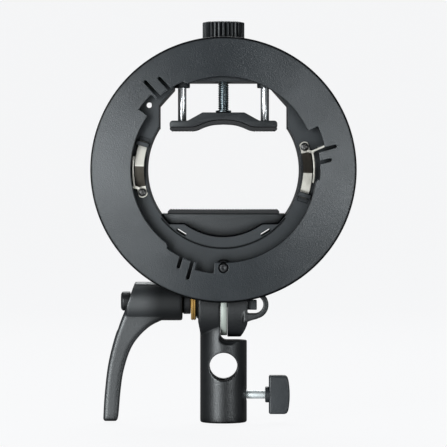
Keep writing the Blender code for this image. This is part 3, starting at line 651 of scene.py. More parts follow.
SCUFFED = (0.09, 0.095, 0.1)
BARE_CASTING = (0.05, 0.052, 0.055)
WORN_STRIP = (0.3, 0.29, 0.26)
DRAWN = (1.3, 1.3, 0.02)  # brushing along Z
ROLLED = (1, 1, 0.08)
# painted_corner_shade and painted_rim_shade paint shade into a finish's colour in corners and on
# rounded rims
FINISH = {
    "black_plastic": surface(
        "satin_black_moulding", dark=(0.005, 0.0065, 0.008), light=(0.012, 0.0145, 0.017),
        rough=0.40, grain=1400, bump=0.2, wear_colour=SCUFFED, scratches=0.08,
        painted_corner_shade=0.85, painted_rim_shade=0.55,
    ),
    "dark_plastic": surface(
        "jaw_moulding", dark=(0.003, 0.0038, 0.0046), light=(0.008, 0.0095, 0.011),
        rough=0.38, grain=1600, bump=0.25, wear_colour=SCUFFED, specular=0.4,
        painted_corner_shade=0.75, painted_rim_shade=0.4,
    ),
    # the ring's finish has painted shade in corners and on its rolled outer and inner edges
    "turned_plastic": surface(
        "turned_black_moulding", dark=(0.004, 0.0055, 0.007), light=(0.010, 0.0125, 0.015),
        rough=0.345, grain=1700, bump=0.45, blotch=42.0, wear=0.0, scratches=0.08,
        turned_grain=0.78, specular=0.86, painted_corner_shade=0.7, painted_lip_shade=True,
    ),
    "seat_plastic": surface(
        "grained_black_moulding", dark=(0.003, 0.0038, 0.0046), light=(0.009, 0.0105, 0.012),
        rough=0.40, grain=2600, bump=0.5, wear=0.1, wear_colour=SCUFFED, painted_corner_shade=0.7, painted_rim_shade=0.6,
    ),
    "black_casting": surface(
        "powder_coated_casting", dark=(0.002, 0.0024, 0.0028), light=(0.006, 0.0066, 0.0074),
        rough=0.355, grain=1100, bump=0.40, wear_colour=BARE_CASTING, specular=0.58,
        painted_corner_shade=0.8,
    ),
    # a lighter copy of the casting finish, as painted light on the lever, with painted shade where
    # the inner end of the hub stands in shade
    "lighter_casting_painted_light": surface(
        "powder_coated_lever_painted_light_and_shade", dark=(0.006, 0.0068, 0.0076), light=(0.016, 0.0175, 0.019),
        rough=0.40, grain=1500, bump=0.22, wear_colour=BARE_CASTING, specular=0.8,
        painted_corner_shade=0.8, painted_fade=(-0.050, -0.036, 0.32),
    ),
    "rubber": surface(
        "ribbed_rubber", dark=(0.006, 0.006, 0.0065), light=(0.016, 0.016, 0.017),
        rough=0.8, grain=700, bump=0.35, specular=0.3, wear=0.2, wear_colour=(0.05, 0.05, 0.05),
        painted_corner_shade=0.6,
    ),
    "chrome": surface(
        "polished_chrome", dark=(0.56, 0.58, 0.60), light=(0.92, 0.93, 0.95),
        rough=0.24, metallic=0.88, bump=0.004, brushed=DRAWN, wear=0.1,
        wear_colour=(0.5, 0.5, 0.5),
    ),
    "bright_rod": surface(
        "ground_bright_steel", dark=(0.46, 0.51, 0.52), light=(0.82, 0.87, 0.88),
        rough=0.3, metallic=0.75, bump=0.012, brushed=DRAWN, wear=0.1,
        wear_colour=(0.5, 0.5, 0.5),
    ),
    "spring_steel": surface(
        "rolled_spring_strip", dark=(0.64, 0.63, 0.57), light=(0.90, 0.88, 0.81),
        rough=0.30, metallic=0.6, brushed=ROLLED, wear=0.2, wear_colour=WORN_STRIP, painted_corner_shade=0.5,
    ),
    # a darker copy of the spring strip for the right leaf, as painted shade
    "spring_strip_painted_shade": surface(
        "rolled_spring_strip_painted_shade", dark=(0.28, 0.275, 0.245), light=(0.60, 0.59, 0.54),
        rough=0.34, metallic=0.6, grain=700, bump=0.08, blotch=90.0, brushed=(1, 1, 0.3),
        wear=0.2, wear_colour=WORN_STRIP, painted_corner_shade=0.5,
    ),
    # a dark copy of the strip, as painted dark reflection on parts of the leaf springs
    "strip_painted_dark_reflection": surface(
        "rolled_strip_painted_dark_reflection", dark=(0.035, 0.032, 0.026), light=(0.11, 0.10, 0.085),
        rough=0.32, metallic=0.9, brushed=ROLLED, wear=0.2, wear_colour=WORN_STRIP, painted_corner_shade=0.5,
    ),
    "steel": surface(
        "turned_steel", dark=(0.22, 0.245, 0.225), light=(0.32, 0.35, 0.325),
        rough=0.5, metallic=0.35, bump=0.08, brushed=(4, 0.3, 0.3), wear=0.5,
        wear_colour=(0.1, 0.11, 0.1), painted_corner_shade=0.4, painted_rim_shade=0.8,
    ),
    "zinc": surface(
        "bright_zinc", dark=(0.24, 0.29, 0.31), light=(0.40, 0.46, 0.49),
        rough=0.3, metallic=1.0, bump=0.06, wear=0.3, wear_colour=(0.1, 0.11, 0.12), painted_corner_shade=0.6,
    ),
    "dark_screw": surface(
        "dark_nickel_screw", dark=(0.05, 0.05, 0.052), light=(0.12, 0.12, 0.12),
        rough=0.28, metallic=1.0, bump=0.08, wear=0.6, wear_colour=(0.5, 0.5, 0.48),
    ),
    "black_steel": surface(
        "black_oxide", dark=(0.010, 0.011, 0.012), light=(0.022, 0.023, 0.025),
        rough=0.36, metallic=0.5, grain=800, bump=0.1, wear=0.3, wear_colour=(0.12, 0.12, 0.12),
        painted_corner_shade=0.6,
    ),
    "brass": surface(
        "turned_brass", dark=(0.58, 0.33, 0.08), light=(0.88, 0.58, 0.2),
        rough=0.3, metallic=0.8, bump=0.08, brushed=(5, 0.4, 0.4), wear=0.5,
        wear_colour=(0.12, 0.06, 0.015), painted_corner_shade=0.7,
    ),
}


def piece(obj, node, finish=None):
    """The finished form that stands for a CAD node."""
    obj.name = "look_" + node
    obj.data.materials.clear()
    obj.data.materials.append(FINISH[finish or SLOTS[node]])
    for face in obj.data.polygons:
        face.material_index = 0
    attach(obj, NODE_BODY[node])
    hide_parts(node)
    return obj


def squeezed(obj, body):
    """A spring that rides with the body at its fixed end, on a mesh of its own."""
    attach(obj, body)
    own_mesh(obj)


# ------------------------------------------------------------------ stand adapter
ADAPTER_R = 13.8
CROSS_Z = -11.7  # height of the cross bore, along Y
adapter = turned("adapter", [
    (0, 16.0), (15.0, 16.0), (14.7, 13.5), (13.9, 10.2), (ADAPTER_R, 8.6),
    (ADAPTER_R, -44.2), (13.5, -44.8), (12.8, -45.0), (0, -45.0),
], steps=96)
cheek = plate("cheek", [arc(TILT_MID, DISC_R, 0, 357, 3.0)], -14.9, -1.9, "YZ", round_by=1.0)
join(adapter, cheek, pin("boss", 10.0, -16.1, -12.0, TILT, "x"))
flare = [
    (-20.0, 16.0), (-14.96, 15.2), (-14.5, 12.6), (-14.0, 10.0),
    (-ADAPTER_R, 8.0), (-ADAPTER_R, 2.0), (-20.0, 2.0),
]
lug_space = [(-1.85, 60.0), (-1.85, 7.0)] + arc((1.75, 7.0), 3.6, 180, 270, 10)
lug_space += [(20.0, 3.4), (20.0, 60.0)]
cut(
    adapter,
    plate("flare", [flare], -30, 30),
    plate("lug_space", [lug_space], -30, 30),
    ball("scoop_front", (4.6, -14.4, 4.9), 3.9, (1.95, 1.0, 1.0)),
    ball("scoop_back", (4.6, 14.4, 4.9), 3.9, (1.95, 1.0, 1.0)),
    turned("socket", [
        (0, 0), (7.5, 0), (8.1, -0.6), (8.1, -44.4), (9.2, -45.6), (9.2, -50), (0, -50),
    ]),
    pin("cheek_bore", TILT_BORE, -20, 2, TILT, "x", 40),
    pin("cross", 8.2, -20, 20, (0, 0, CROSS_Z), "y", 64),
    pin("lock_hole", 2.9, 4, 16, LOCK, "x", 40),
)
cast(adapter, voxel=0.42, passes=5)
piece(adapter, "stand_adapter")

# ------------------------------------------------------------------ friction disc and washer
disc = tube("disc", TILT_BORE, DISC_R, -1.75, 2.15, TILT, "x", 120, chamfer=0.55)
piece(smooth(disc), "friction_disc")
washer = turned("washer", [
    (4.3, -16.2), (10.6, -16.2), (11.2, -16.7), (11.2, -17.4), (10.85, -17.7),
    (11.2, -18.0), (11.2, -18.7), (10.7, -19.2), (4.3, -19.2),
], TILT, "x", 96, ring=True)
piece(smooth(washer, 30), "brass_washer")

# ------------------------------------------------------------------ tilt bolt
bolt = thread(
    "bolt", TILT, "x", -27.0, 14.8, radius=3.95, depth=0.62, pitch=1.25, around=32
)
piece(smooth(bolt, 60), "tilt_bolt")

# ------------------------------------------------------------------ lever insert
TEETH = 18


def star(outer, inner):
    """A toothed outline about the tilt axis."""
    out = []
    for i in range(2 * TEETH):
        radius, angle = (outer if i % 2 else inner), math.pi * i / TEETH
        out.append((radius * math.cos(angle), TILT_Z + radius * math.sin(angle)))
    return out


insert = turned("insert", [
    (4.1, -19.4), (7.2, -19.4), (7.6, -19.8), (7.6, -23.4), (7.2, -23.8),
    (5.2, -23.8), (5.2, -35.0), (2.8, -35.0), (2.8, -28.0), (4.1, -27.5),
], TILT, "x", ring=True)
insert_teeth = [star(7.1, 6.1), circle(TILT_MID, 4.6, 44)]
join(insert, plate("insert_teeth", insert_teeth, -28.3, -23.6, "YZ"))
piece(soften(insert, 0.15), "lever_insert")

# ------------------------------------------------------------------ lever screw
lever_screw = turned("lever_screw", [
    (0, -30.0), (2.2, -30.0), (2.5, -30.5), (2.5, -55.0), (5.3, -55.0), (5.7, -55.4),
    (5.7, -58.8), (5.5, -59.6), (4.9, -60.2), (4.2, -60.5), (0, -60.5),
], TILT, "x", 56)
cut(lever_screw, plate("key", [hexagon(TILT_MID, 2.3)], -62.0, -57.6, "YZ"))
piece(soften(lever_screw, 0.15), "lever_screw")

# ------------------------------------------------------------------ tilt lever
# (x, z) down the outer side of the handle, then up the side nearer the stand
outer_edge = spline_through([
    (-52.4, 37.2), (-57.2, 24.0), (-60.6, 15.5), (-64.9, 2.6),
    (-68.2, -11.7), (-70.2, -29.0), (-71.0, -43.2),
], 6)
inner_edge = spline_through([
    (-62.6, -43.4), (-62.0, -39.7), (-60.8, -26.1), (-59.1, -14.9), (-55.3, -2.9),
    (-50.3, 5.1), (-43.4, 11.6), (-35.6, 15.6), (-28.5, 18.6),
], 6)
tip, root = [(-70.2, -44.3), (-63.4, -44.3)], [(-27.0, 21.0), (-27.0, 32.0), (-34.0, 36.6)]
lever = plate(
    "lever", [outer_edge + tip + inner_edge + root], -6.4, 6.4, round_by=2.6, resolution=4
)
for vert in lever.data.vertices:
    # the handle is thinnest a little above its tip and widens towards the hub
    z = vert.co.z / MM
    share = min(1.0, max(0.0, (10.0 - z) / 54.0))
    grow = min(1.0, max(0.0, (z + 14.0) / 32.0))
    thinning = 0.26 * math.sin(share * math.pi * 0.62)
    vert.co.y *= 1.0 - thinning + 0.10 * grow * grow * (3 - 2 * grow)
hub = turned("hub", [
    (0, -24.2), (10.6, -24.2), (11.2, -24.6), (11.4, -25.4), (11.4, -57.0), (0, -57.5),
], TILT, "x", 96)
join(lever, hub)
slanted_end = [
    (-52.2, 44.0), (-52.4, 37.2), (-57.0, 24.0), (-60.4, 15.5), (-62.6, 9.0),
    (-90.0, 9.0), (-90.0, 44.0),
]
cut(lever, plate("slanted_end", [slanted_end], -40, 40))
cast(lever, voxel=0.42, passes=12)
hub_hollow = [(0, -20.0), (8.0, -20.0), (8.0, -24.9), (3.0, -24.95), (3.0, -50.0), (0, -50.0)]
cut(
    lever,
    turned("hub_hollow", hub_hollow, TILT, "x", 48),
    plate("hub_teeth", [star(7.6, 6.6)], -28.9, -23.0, "YZ"),
    pin("hub_relief", 7.9, -36.0, -28.5, TILT, "x"),
    pin("hub_chamber", 6.2, -64.0, -44.0, TILT, "x"),
)
# the lever takes the lighter copy of the casting finish, painted light, with painted shade on the
# hub's inner end
piece(smooth(lever, 50), "tilt_lever", "lighter_casting_painted_light")

# Each spring lies between these two places along its axis
LEVER_SPRING = (-54.9, -44.1)
lever_coil = coil("lever_coil", TILT, "x", *LEVER_SPRING, radius=4.2, wire=0.5, turns=5.0)
piece(smooth(lever_coil), "lever_spring")
squeezed(lever_coil, "tilt_stud")

# ------------------------------------------------------------------ tilt nut
nut_outline = [hexagon(TILT_MID, 7.45, 30), circle(TILT_MID, 4.15, 40)]
piece(soften(plate("nut", nut_outline, 9.9, 13.7, "YZ"), 0.3), "tilt_nut")

# ------------------------------------------------------------------ swivel lug
EYE = (18.3, 24.9)  # (x, z) of the umbrella eye, whose bore runs along Y
GRIP_Y, GRIP_Z = -14.5, 24.85  # axis of the sprung block in the eye
lug_outline = [(-7.9, 44.5), (-7.9, 49.0), (14.0, 49.0), (14.0, 42.0)]
lug_outline += arc(TILT_MID, 21.0, 48.0, -229.0, 3.0)[:-3]
lug = plate("lug", [lug_outline], 2.3, 14.0, "YZ")
eye_tail = spline_through([(19.6, 16.7), (16.5, 15.9), (14.0, 15.0), (11.4, 14.2)], 4)[1:]
eye_outline = [(11.4, 32.9)] + arc(EYE, 8.05, 90, -70, 4.0) + eye_tail
eye = plate("eye", [eye_outline], -20.5, -8.5, round_by=1.0)
corner = spline_through([(14.3, 16.0), (13.9, 13.4), (12.6, 10.0), (10.6, 6.3), (9.3, 4.4)], 4)
cut(lug, plate("corner", [corner + [(20.0, 4.4), (20.0, 16.0)]], -30, 30))
join(lug, block("flange", (-12.0, -7.9, 47.6), (16.0, 24.0, 51.6)), eye)
eye_hole = [(14.1, 30.0)] + arc(EYE, 5.1, 90, -90, 6.0) + [(14.1, 19.8)]
cut(
    lug,
    plate("eye_hole", [eye_hole], -30.0, 0.0),
    pin("lug_bore", TILT_BORE, 0, 16, TILT, "x", 40),
    plate("nut_pocket", [hexagon(TILT_MID, 7.8, 30)], 9.5, 16.0, "YZ"),
    block("grip_pocket", (3.4, -18.3, 21.7), (14.6, -10.7, 28.0)),
    *[
        pin("lug_hole_%d" % (i + 1), 2.2, 46, 53, (x, LUG_SCREW_Y, 0), "z", 24)
        for i, (_, x) in enumerate(LUG_SCREWS)
    ],
)
cast(lug, voxel=0.4, passes=3)
piece(lug, "swivel_lug")

# ------------------------------------------------------------------ umbrella grip
GRIP_SPRING = (3.5, 14.9)
grip = block("grip", (8.3, -18.0, 22.0), (19.5, -11.0, 27.7))
cut(grip, pin("grip_bore", 2.2, 0.0, 15.0, (0, GRIP_Y, GRIP_Z), "x", 24))
piece(soften(grip, 0.45, 3), "umbrella_grip_block")
grip_coil = coil(
    "grip_coil", (0, GRIP_Y, GRIP_Z), "x", *GRIP_SPRING, radius=1.6, wire=0.3, turns=6.0
)
piece(smooth(grip_coil), "umbrella_grip_spring")
squeezed(grip_coil, "head")

# ------------------------------------------------------------------ lug screws
for side, x in LUG_SCREWS:
    lug_screw = turned("lug_screw", [
        (0, 58.5), (1.6, 58.5), (1.8, 58.2), (1.8, 47.4), (3.2, 47.4),
        (3.2, 45.6), (2.6, 45.0), (0, 45.0),
    ], (x, LUG_SCREW_Y, 0), "z", 40)
    cut(lug_screw, plate("hex", [hexagon((x, LUG_SCREW_Y), 1.7)], 43.0, 46.6, "XY"))
    piece(soften(lug_screw, 0.12), "lug_screw_" + side)

# ------------------------------------------------------------------ housing
# Right halves of the window and of the wall around it, as (x, z)
web_line = spline_through([(0.0, 64.7), (6.0, 65.2), (12.0, 66.7), (18.0, 69.3), (22.9, 72.2)], 4)
window = mirrored(
    web_line + arc(RING_MID, 45.0, -45.0, 33.0, 1.5)
    + single([
        (36.9, 126.0), (37.6, 126.8), (37.6, 141.5), (28.9, 151.2), (28.9, 155.5), (0.0, 155.5),
    ])
)
shoulders = rounded(
    [(42.0, 129.3), (42.0, 143.5), (34.0, 152.5), (34.0, 167.5), (29.5, 172.0), (0.0, 172.0)],
    [0, 1.5, 1.5, 2, 2, 0],
)
wall = mirrored([(0.0, 55.0)] + arc(RING_MID, 49.0, -86.0, 31.0, 2.0) + shoulders)
housing = plate("housing", [circle(RING_MID, 70.0, 144)], *FLOOR)

# Hooks that hold the tails of the leaf springs, each over a slot
ring_centre = Vector((0, 0, RING_Z * MM))
hook_low, hook_high = (45.7, FLOOR[0] - 2.6, -1.3), (53.4, FLOOR[0] + 1.0, 1.3)
slot_low, slot_high = (46.2, FLOOR[0] - 1.3, -4.0), (52.2, FLOOR[0] + 0.15, 4.0)
hooks, hook_slots = [], []
for angle in (-17.6, 162.4):
    turn = math.radians(-angle)
    hooks.append(turned_block("hook", hook_low, hook_high, ring_centre, turn))
    hook_slots.append(turned_block("hook", slot_low, slot_high, ring_centre, turn))
join(
    housing,
    plate("wall", [wall], -21.8, 24.0),
    block("lug_seat", (-13.0, -11.0, 51.9), (17.0, 23.5, 62.0)),
    pin("pin_boss", 5.2, -23.1, -16.0, PIN, "y"),
    pin("neck_boss", 8.5, 170.0, 176.4, steps=64),
    *hooks,
)
web_groove = arc(RING_MID, 46.15, 218, 322, 2.0) + arc(RING_MID, 45.4, 322, 218, 2.0)
cutters = [plate("window", [window], -40.0, 40.0), *hook_slots]
for side, sign in (("l", -1), ("r", 1)):
    slit = stadium((sign * 22.4, 66.2), (sign * 26.6, 68.8), 0.8)
    cutters.append(plate("slit_" + side, [slit], -40, 40))
cutters.append(
    stepped("screw_bore", ((5.7, 150.0, 166.0), (3.7, 166.0, 180.0)), (0, 0, 0), "z")
)
for side, x in GUIDES:
    spans = ((4.8, 150.0, 170.0), (2.8, 170.0, 175.0))
    cutters.append(stepped("bore_" + side[0], spans, (x, 0, 0), "z"))
cutters += [
    stepped("pin_bore", ((4.5, -30.0, -17.2), (2.1, -17.2, -12.0)), PIN, "y"),
    plate("web_line", [web_groove], -30.0, -23.7),
    pin("sight", 1.6, -30, -18, on_ring(57.3, 139.0), "y", 32),
]
for side, x in LUG_SCREWS:
    cutters.append(pin("thread_" + side[0], 2.1, 50, 59.5, (x, LUG_SCREW_Y, 0), "z", 24))
for side, left, right in (("l", -18.5, -9.0), ("r", 9.0, 18.5)):
    cutters.append(block("pocket_" + side, (left, 6.0, 158.0), (right, 30.0, 169.0)))
for angle in SCREW_ANGLES:
    cutters.append(pin("floor_hole", 1.9, -30, -18, on_ring(SCREW_CIRCLE, angle), "y", 24))
for angle in (LEAF_SCREW, LEAF_SCREW + 180):
    cutters.append(pin("leaf_thread", 1.45, -30, -17.5, on_ring(LEAF_R, angle), "y", 24))
cut(housing, *cutters)
piece(soften(housing, 0.18), "housing")

# ------------------------------------------------------------------ bayonet ring
ring = turned("ring", [
    (50.0, -32.0), (76.1, -32.0), (76.75, -31.8), (77.2, -31.35), (77.4, -30.6),
    (77.4, -22.4), (77.0, -22.0), (70.6, -22.0), (70.6, -29.0), (50.0, -29.0),
], (0, 0, RING_Z), "y", 192, ring=True)
for angle in SCREW_ANGLES:
    join(ring, pin("ring_boss", 3.5, -30.53, -24.7, on_ring(SCREW_CIRCLE, angle), "y", 36))

# The inner lip repeats three times: radius, start and end angle of each step
LIP_STEPS = ((56.3, -6.0, 13.9), (60.4, 13.9, 24.6), (53.8, 24.6, 112.6), (54.8, 113.0, 114.0))
lip = []
for k in range(3):
    turn = 120.0 * k
    for radius, start, end in LIP_STEPS:
        lip += single(arc(RING_MID, radius, turn + start, turn + end, 2.0))
ring_cuts = [plate("lip", [lip], -40, -10), pin("pin_hole", 3.0, -40, -20, PIN, "y")]

# A long and a short parallel slot at each third of the lip
SLOT_ROOT, SLOT_HALF = 54.5, 0.95
for k, (long_r, short_r) in enumerate(((67.0, 63.0), (69.0, 65.5), (67.0, 63.0))):
    turn = 120.0 * k
    heading = math.radians(13.5 + turn)
    for radius, angle in ((long_r, 11.7), (short_r, 5.1)):
        reach = radius - SLOT_ROOT
        x, z = polar(radius - 0.8, angle + turn)
        inner_end = (x - reach * math.cos(heading), z - reach * math.sin(heading))
        ring_cuts.append(plate("slot", [stadium(inner_end, (x, z), SLOT_HALF)], -40, -20))
for angle in SCREW_ANGLES:
    centre = on_ring(SCREW_CIRCLE, angle)
    ring_cuts.append(pin("ring_thread", 1.7, -30.6, -20, centre, "y", 24))
grooves = [
    arc(RING_MID, 75.4, 45 * k + 1.5, 45 * k + 43.5, 2.5)
    + arc(RING_MID, 72.6, 45 * k + 43.5, 45 * k + 1.5, 2.5)
    for k in range(8)
]
ring_cuts.append(plate("groove", grooves, -27.5, -20.0))
cut(ring, *ring_cuts)
piece(soften(ring, 0.28), "front_ring", "turned_plastic")

# ------------------------------------------------------------------ ring screws
for i, angle in enumerate(SCREW_ANGLES):
    x, z = polar(SCREW_CIRCLE, angle)
    ring_screw = turned("ring_screw", [
        (0, -19.2), (2.0, -19.2), (2.6, -19.4), (2.9, -19.9), (2.9, -21.3),
        (1.4, -21.3), (1.4, -30.0), (1.2, -30.2), (0, -30.2),
    ], (x, 0, z), "y", 40)
    cut(
        ring_screw,
        block("cross_a", (x - 1.5, -20.4, z - 0.3), (x + 1.5, -18.0, z + 0.3)),
        block("cross_b", (x - 0.3, -20.4, z - 1.5), (x + 0.3, -18.0, z + 1.5)),
    )
    piece(soften(ring_screw, 0.1), "ring_screw_%d" % (i + 1))

# ------------------------------------------------------------------ leaf springs
LEAF_START, LEAF_END = 19.2, -19.6  # angles of the screw tab and the tail
LEAF_WIDTH = 5.2
RISE_START, RISE_PEAK, RISE_END = 12.0, -2.5, -16.0


def leaf_rise(angle):
    """Height of the bowed leaf in front of the floor."""
    rest = 0.3
    if angle > RISE_START or angle < RISE_END:
        return rest
    span = RISE_START - RISE_PEAK if angle > RISE_PEAK else RISE_PEAK - RISE_END
    return rest + 3.5 * ((1.0 - abs(angle - RISE_PEAK) / span) ** 1.15)


def leaf_blade(turn):
    form = bmesh.new()
    bmesh.ops.create_grid(form, x_segments=72, y_segments=4, size=0.5)
    for vert in form.verts:
        along = vert.co.x + 0.5
        angle = LEAF_START + along * (LEAF_END - LEAF_START)
        # a rounded tab at the screw, a slightly narrower tail under the hook
        tab = math.sqrt(max(0.05, 1 - max(0.0, (0.05 - along) / 0.05) ** 2))
        width = LEAF_WIDTH * min(1.0, tab) * (1.0 - 0.1 * max(0.0, along - 0.9) / 0.1)
        x, z = polar(LEAF_R + vert.co.y * width, angle + turn)
        vert.co = Vector((x, FLOOR[0] - leaf_rise(angle), z)) * MM
    leaf = object_from("leaf", form)
    thick = leaf.modifiers.new("thickness", "SOLIDIFY")
    thick.thickness = 0.42 * MM
    thick.offset = 0.0
    return bake(leaf)


def paint_dark_reflection(leaf, turn):
    """Paints a dark reflection on two spans of the blade with a second material."""
    leaf.data.materials.append(FINISH["strip_painted_dark_reflection"])
    for face in leaf.data.polygons:
        x, z = face.center.x / MM, face.center.z / MM - RING_Z
        around = (math.degrees(math.atan2(z, x)) - turn + 180) % 360 - 180
        if (-2.4 < around < 11.6 or around < -16.2) and math.hypot(x, z) < 51.9:
            face.material_index = 1


def leaf_screw(centre):
    screw = turned("leaf_screw", [
        (0, -18.0), (1.15, -18.0), (1.15, -25.15), (2.4, -25.15), (2.4, -25.5),
        (2.15, -26.2), (1.6, -26.6), (0.8, -26.75), (0, -26.8),
    ], centre, "y", 40)
    low, high = (-1.35, -28.0, -0.28), (1.35, -25.7, 0.28)
    cut(screw, *[
        turned_block(
            "arm", low, high, Vector(centre) * MM, math.radians(20.0) + quarter * math.pi / 2
        )
        for quarter in (0, 1)
    ])
    return soften(screw, 0.08)


for side, turn in (("right", 0.0), ("left", 180.0)):
    leaf = leaf_blade(turn)
    screw_place = on_ring(LEAF_R, LEAF_SCREW + turn)
    cut(leaf, pin("leaf_hole", 1.5, -30, -20, screw_place, "y", 32))
    strip_outline = arc(RING_MID, 53.2, turn - 8.5, turn + 11.4, 2.0)
    strip_outline += arc(RING_MID, 52.25, turn + 11.4, turn - 8.5, 2.0)
    strip = plate("strip", [strip_outline], -28.3, -27.7, round_by=0.15)
    tie_outline = stadium(polar(50.6, 12.2 + turn), polar(53.0, 11.0 + turn), 0.75)
    gather(leaf, strip, plate("tie", [tie_outline], -28.25, -24.7))
    if side == "right":
        # a bright finger in front of the ring, on a leg from the strip
        finger = stadium(polar(52.6, 11.6), polar(59.6, 13.0), 0.5)
        finger_leg = stadium(polar(52.7, 11.4), polar(53.4, 11.7), 0.5)
        gather(
            leaf,
            plate("finger", [finger], -32.35, -32.0),
            plate("finger_leg", [finger_leg], -32.1, -28.0),
        )
    # the right leaf takes the darker copy of the strip finish, painted shade
    piece(smooth(leaf, 35), "leaf_spring_" + side, "spring_strip_painted_shade" if side == "right" else None)
    # a painted dark reflection on the inner side of two spans of the blade
    paint_dark_reflection(leaf, turn)
    piece(leaf_screw(screw_place), "leaf_screw_" + side, "dark_screw")

# ------------------------------------------------------------------ lock pin
PIN_SPRING = (-27.1, -17.3)
lock_pin = turned("lock_pin", [
    (0, -12.4), (1.6, -12.4), (1.8, -12.6), (1.8, -27.2), (4.1, -27.2), (4.1, -28.4), (2.4, -28.4),
    (2.4, -31.9), (2.25, -32.3), (1.9, -32.5), (0.9, -32.5), (0.5, -32.2), (0, -32.1),
], PIN, "y", 48)
piece(smooth(lock_pin), "lock_pin", "black_steel")
pin_coil = coil("pin_coil", PIN, "y", *PIN_SPRING, radius=3.1, wire=0.35, turns=6.0)
piece(smooth(pin_coil), "lock_pin_spring")
squeezed(pin_coil, "head")

# ------------------------------------------------------------------ pin release lever
bar_outline = rounded([(-3.4, 45.4), (27.5, 45.4), (27.5, 50.4), (-3.4, 50.4)], 1.5)
tab_outline = rounded([(21.5, 44.2), (27.5, 44.2), (27.5, 51.4), (21.5, 51.4)], 1.6)
release = plate("release", [bar_outline], -15.2, -14.0)
join(release, plate("tab", [tab_outline], -14.8, -3.0, round_by=0.8))
grip_grooves = [
    block("grip_rib", (20.0, -11.6 + 2.0 * k, 43.0), (29.0, -11.0 + 2.0 * k, 44.55))
    for k in range(4)
]
cut(release, pin("release_hole", 2.0, -20, -10, PIN, "y", 32), *grip_grooves)
piece(soften(release, 0.2), "pin_release_lever")

# ------------------------------------------------------------------ lower jaw
JAW = (-19.5, 22.0)  # front and back of the jaws and, below, of their pads, along Y
PAD = (-19.0, 21.5)
seat_right = spline_through([(0.0, 65.1), (6.0, 65.6), (12.0, 67.1), (18.0, 69.7), (22.8, 72.6)], 4)
seat_right += [(31.7, 72.5), (36.0, 78.2), (0.0, 78.2)]
lower_jaw = plate("lower_jaw", [mirrored(seat_right)], *JAW, round_by=0.35)
piece(smooth(lower_jaw, 30), "lower_jaw", "seat_plastic")

RIBS, RIBBED = 40, 64.4  # ribs on the pad and the width they cover
ribbed = []
for i in range(RIBS):
    rib_x = RIBBED / 2 - RIBBED * i / RIBS
    for share, z in ((0.0, 80.0), (0.22, 80.6), (0.72, 80.6), (0.94, 80.0)):
        ribbed.append((rib_x - RIBBED / RIBS * share, z))
pad_outline = [(-32.6, 78.3), (32.6, 78.3), (32.6, 79.7)] + ribbed + [(-32.6, 79.7)]
piece(soften(plate("lower_pad", [pad_outline], *PAD), 0.12, 1), "lower_pad")

# ------------------------------------------------------------------ upper jaw
arch = spline_through([(0.0, 133.2), (6.0, 132.8), (11.0, 131.5), (15.5, 129.6), (18.9, 128.9)], 4)
jaw_end = arc((30.9, 129.5), 0.6, -90, 0, 30) + arc((29.6, 130.8), 1.9, 0, 90, 15)
jaw_top = rounded([(26.0, 132.7), (20.9, 132.7), (12.25, 137.5), (0.0, 137.5)], [0, 2.5, 2.0, 0], 8)
upper_jaw = plate("upper_jaw", [mirrored(arch + jaw_end + jaw_top)], *JAW, round_by=0.4)
cut(
    upper_jaw,
    stepped("jaw_bore", ((5.6, 120.0, 134.6), (3.5, 134.6, 145.0)), (0, 0, 0), "z"),
    *[pin("jaw_rod_" + side[0], 2.7, 129.2, 145, (x, 0, 0), "z", 40) for side, x in GUIDES],
)
piece(smooth(upper_jaw, 30), "upper_jaw", "dark_plastic")

pad_low = spline_through(
    [(0.0, 131.0), (6.0, 130.6), (11.0, 129.3), (15.5, 127.4), (18.9, 126.8)], 6
)
pad_top = spline_through(
    [(18.6, 128.75), (15.3, 129.4), (10.8, 131.3), (5.8, 132.6), (0.0, 133.0)], 4
)
SERRATIONS = 14
serrated = []
for i in range(SERRATIONS):
    x = 19.3 + 11.6 * i / SERRATIONS
    serrated += [
        (x, 127.26 - 0.003 * i), (x + 0.17, 126.83), (x + 0.58, 126.8 + 0.002 * i),
        (x + 0.74, 127.2),
    ]
pad_end = [(31.2, 127.2), (31.4, 127.5), (31.4, 128.75)]
upper_pad = plate("upper_pad", [mirrored(pad_low + serrated + pad_end + pad_top)], *PAD)
cut(upper_pad, pin("pad_bore", 5.6, 120, 140, steps=40))
piece(soften(upper_pad, 0.12, 1), "upper_pad")

# ------------------------------------------------------------------ clamp screw and its guides
clamp_nut = tube("nut_insert", 3.5, 5.5, 156.0, 165.8, steps=48, chamfer=0.4)
piece(smooth(clamp_nut), "clamp_nut")
for side, x in GUIDES:
    bush = tube("bush", 2.75, 4.6, 152.2, 169.8, (x, 0, 0), steps=56, chamfer=0.5)
    piece(smooth(bush), "guide_bush_" + side)
    rod = pin("rod", 2.5, 129.3, 163.6, (x, 0, 0), steps=56, round_by=0.5)
    piece(smooth(rod), "guide_rod_" + side)

SCREW_R = 3.175
clamp_screw = thread(
    "clamp_thread", (0, 0, 0), "z", 138.6, 183.5, radius=SCREW_R, depth=0.55, pitch=1.27, around=32
)
collar = turned("screw_collar", [
    (0, 139.1), (4.3, 139.1), (4.6, 138.8), (4.6, 138.1), (4.3, 137.8),
    (SCREW_R, 137.8), (SCREW_R, 132.4), (2.7, 131.9), (0, 131.9),
], steps=48)
gather(clamp_screw, collar)
piece(smooth(clamp_screw, 60), "clamp_screw")
retainer = tube("retainer", 3.3, 5.2, 133.0, 134.3, steps=48, chamfer=0.2)
piece(smooth(retainer), "screw_retainer")

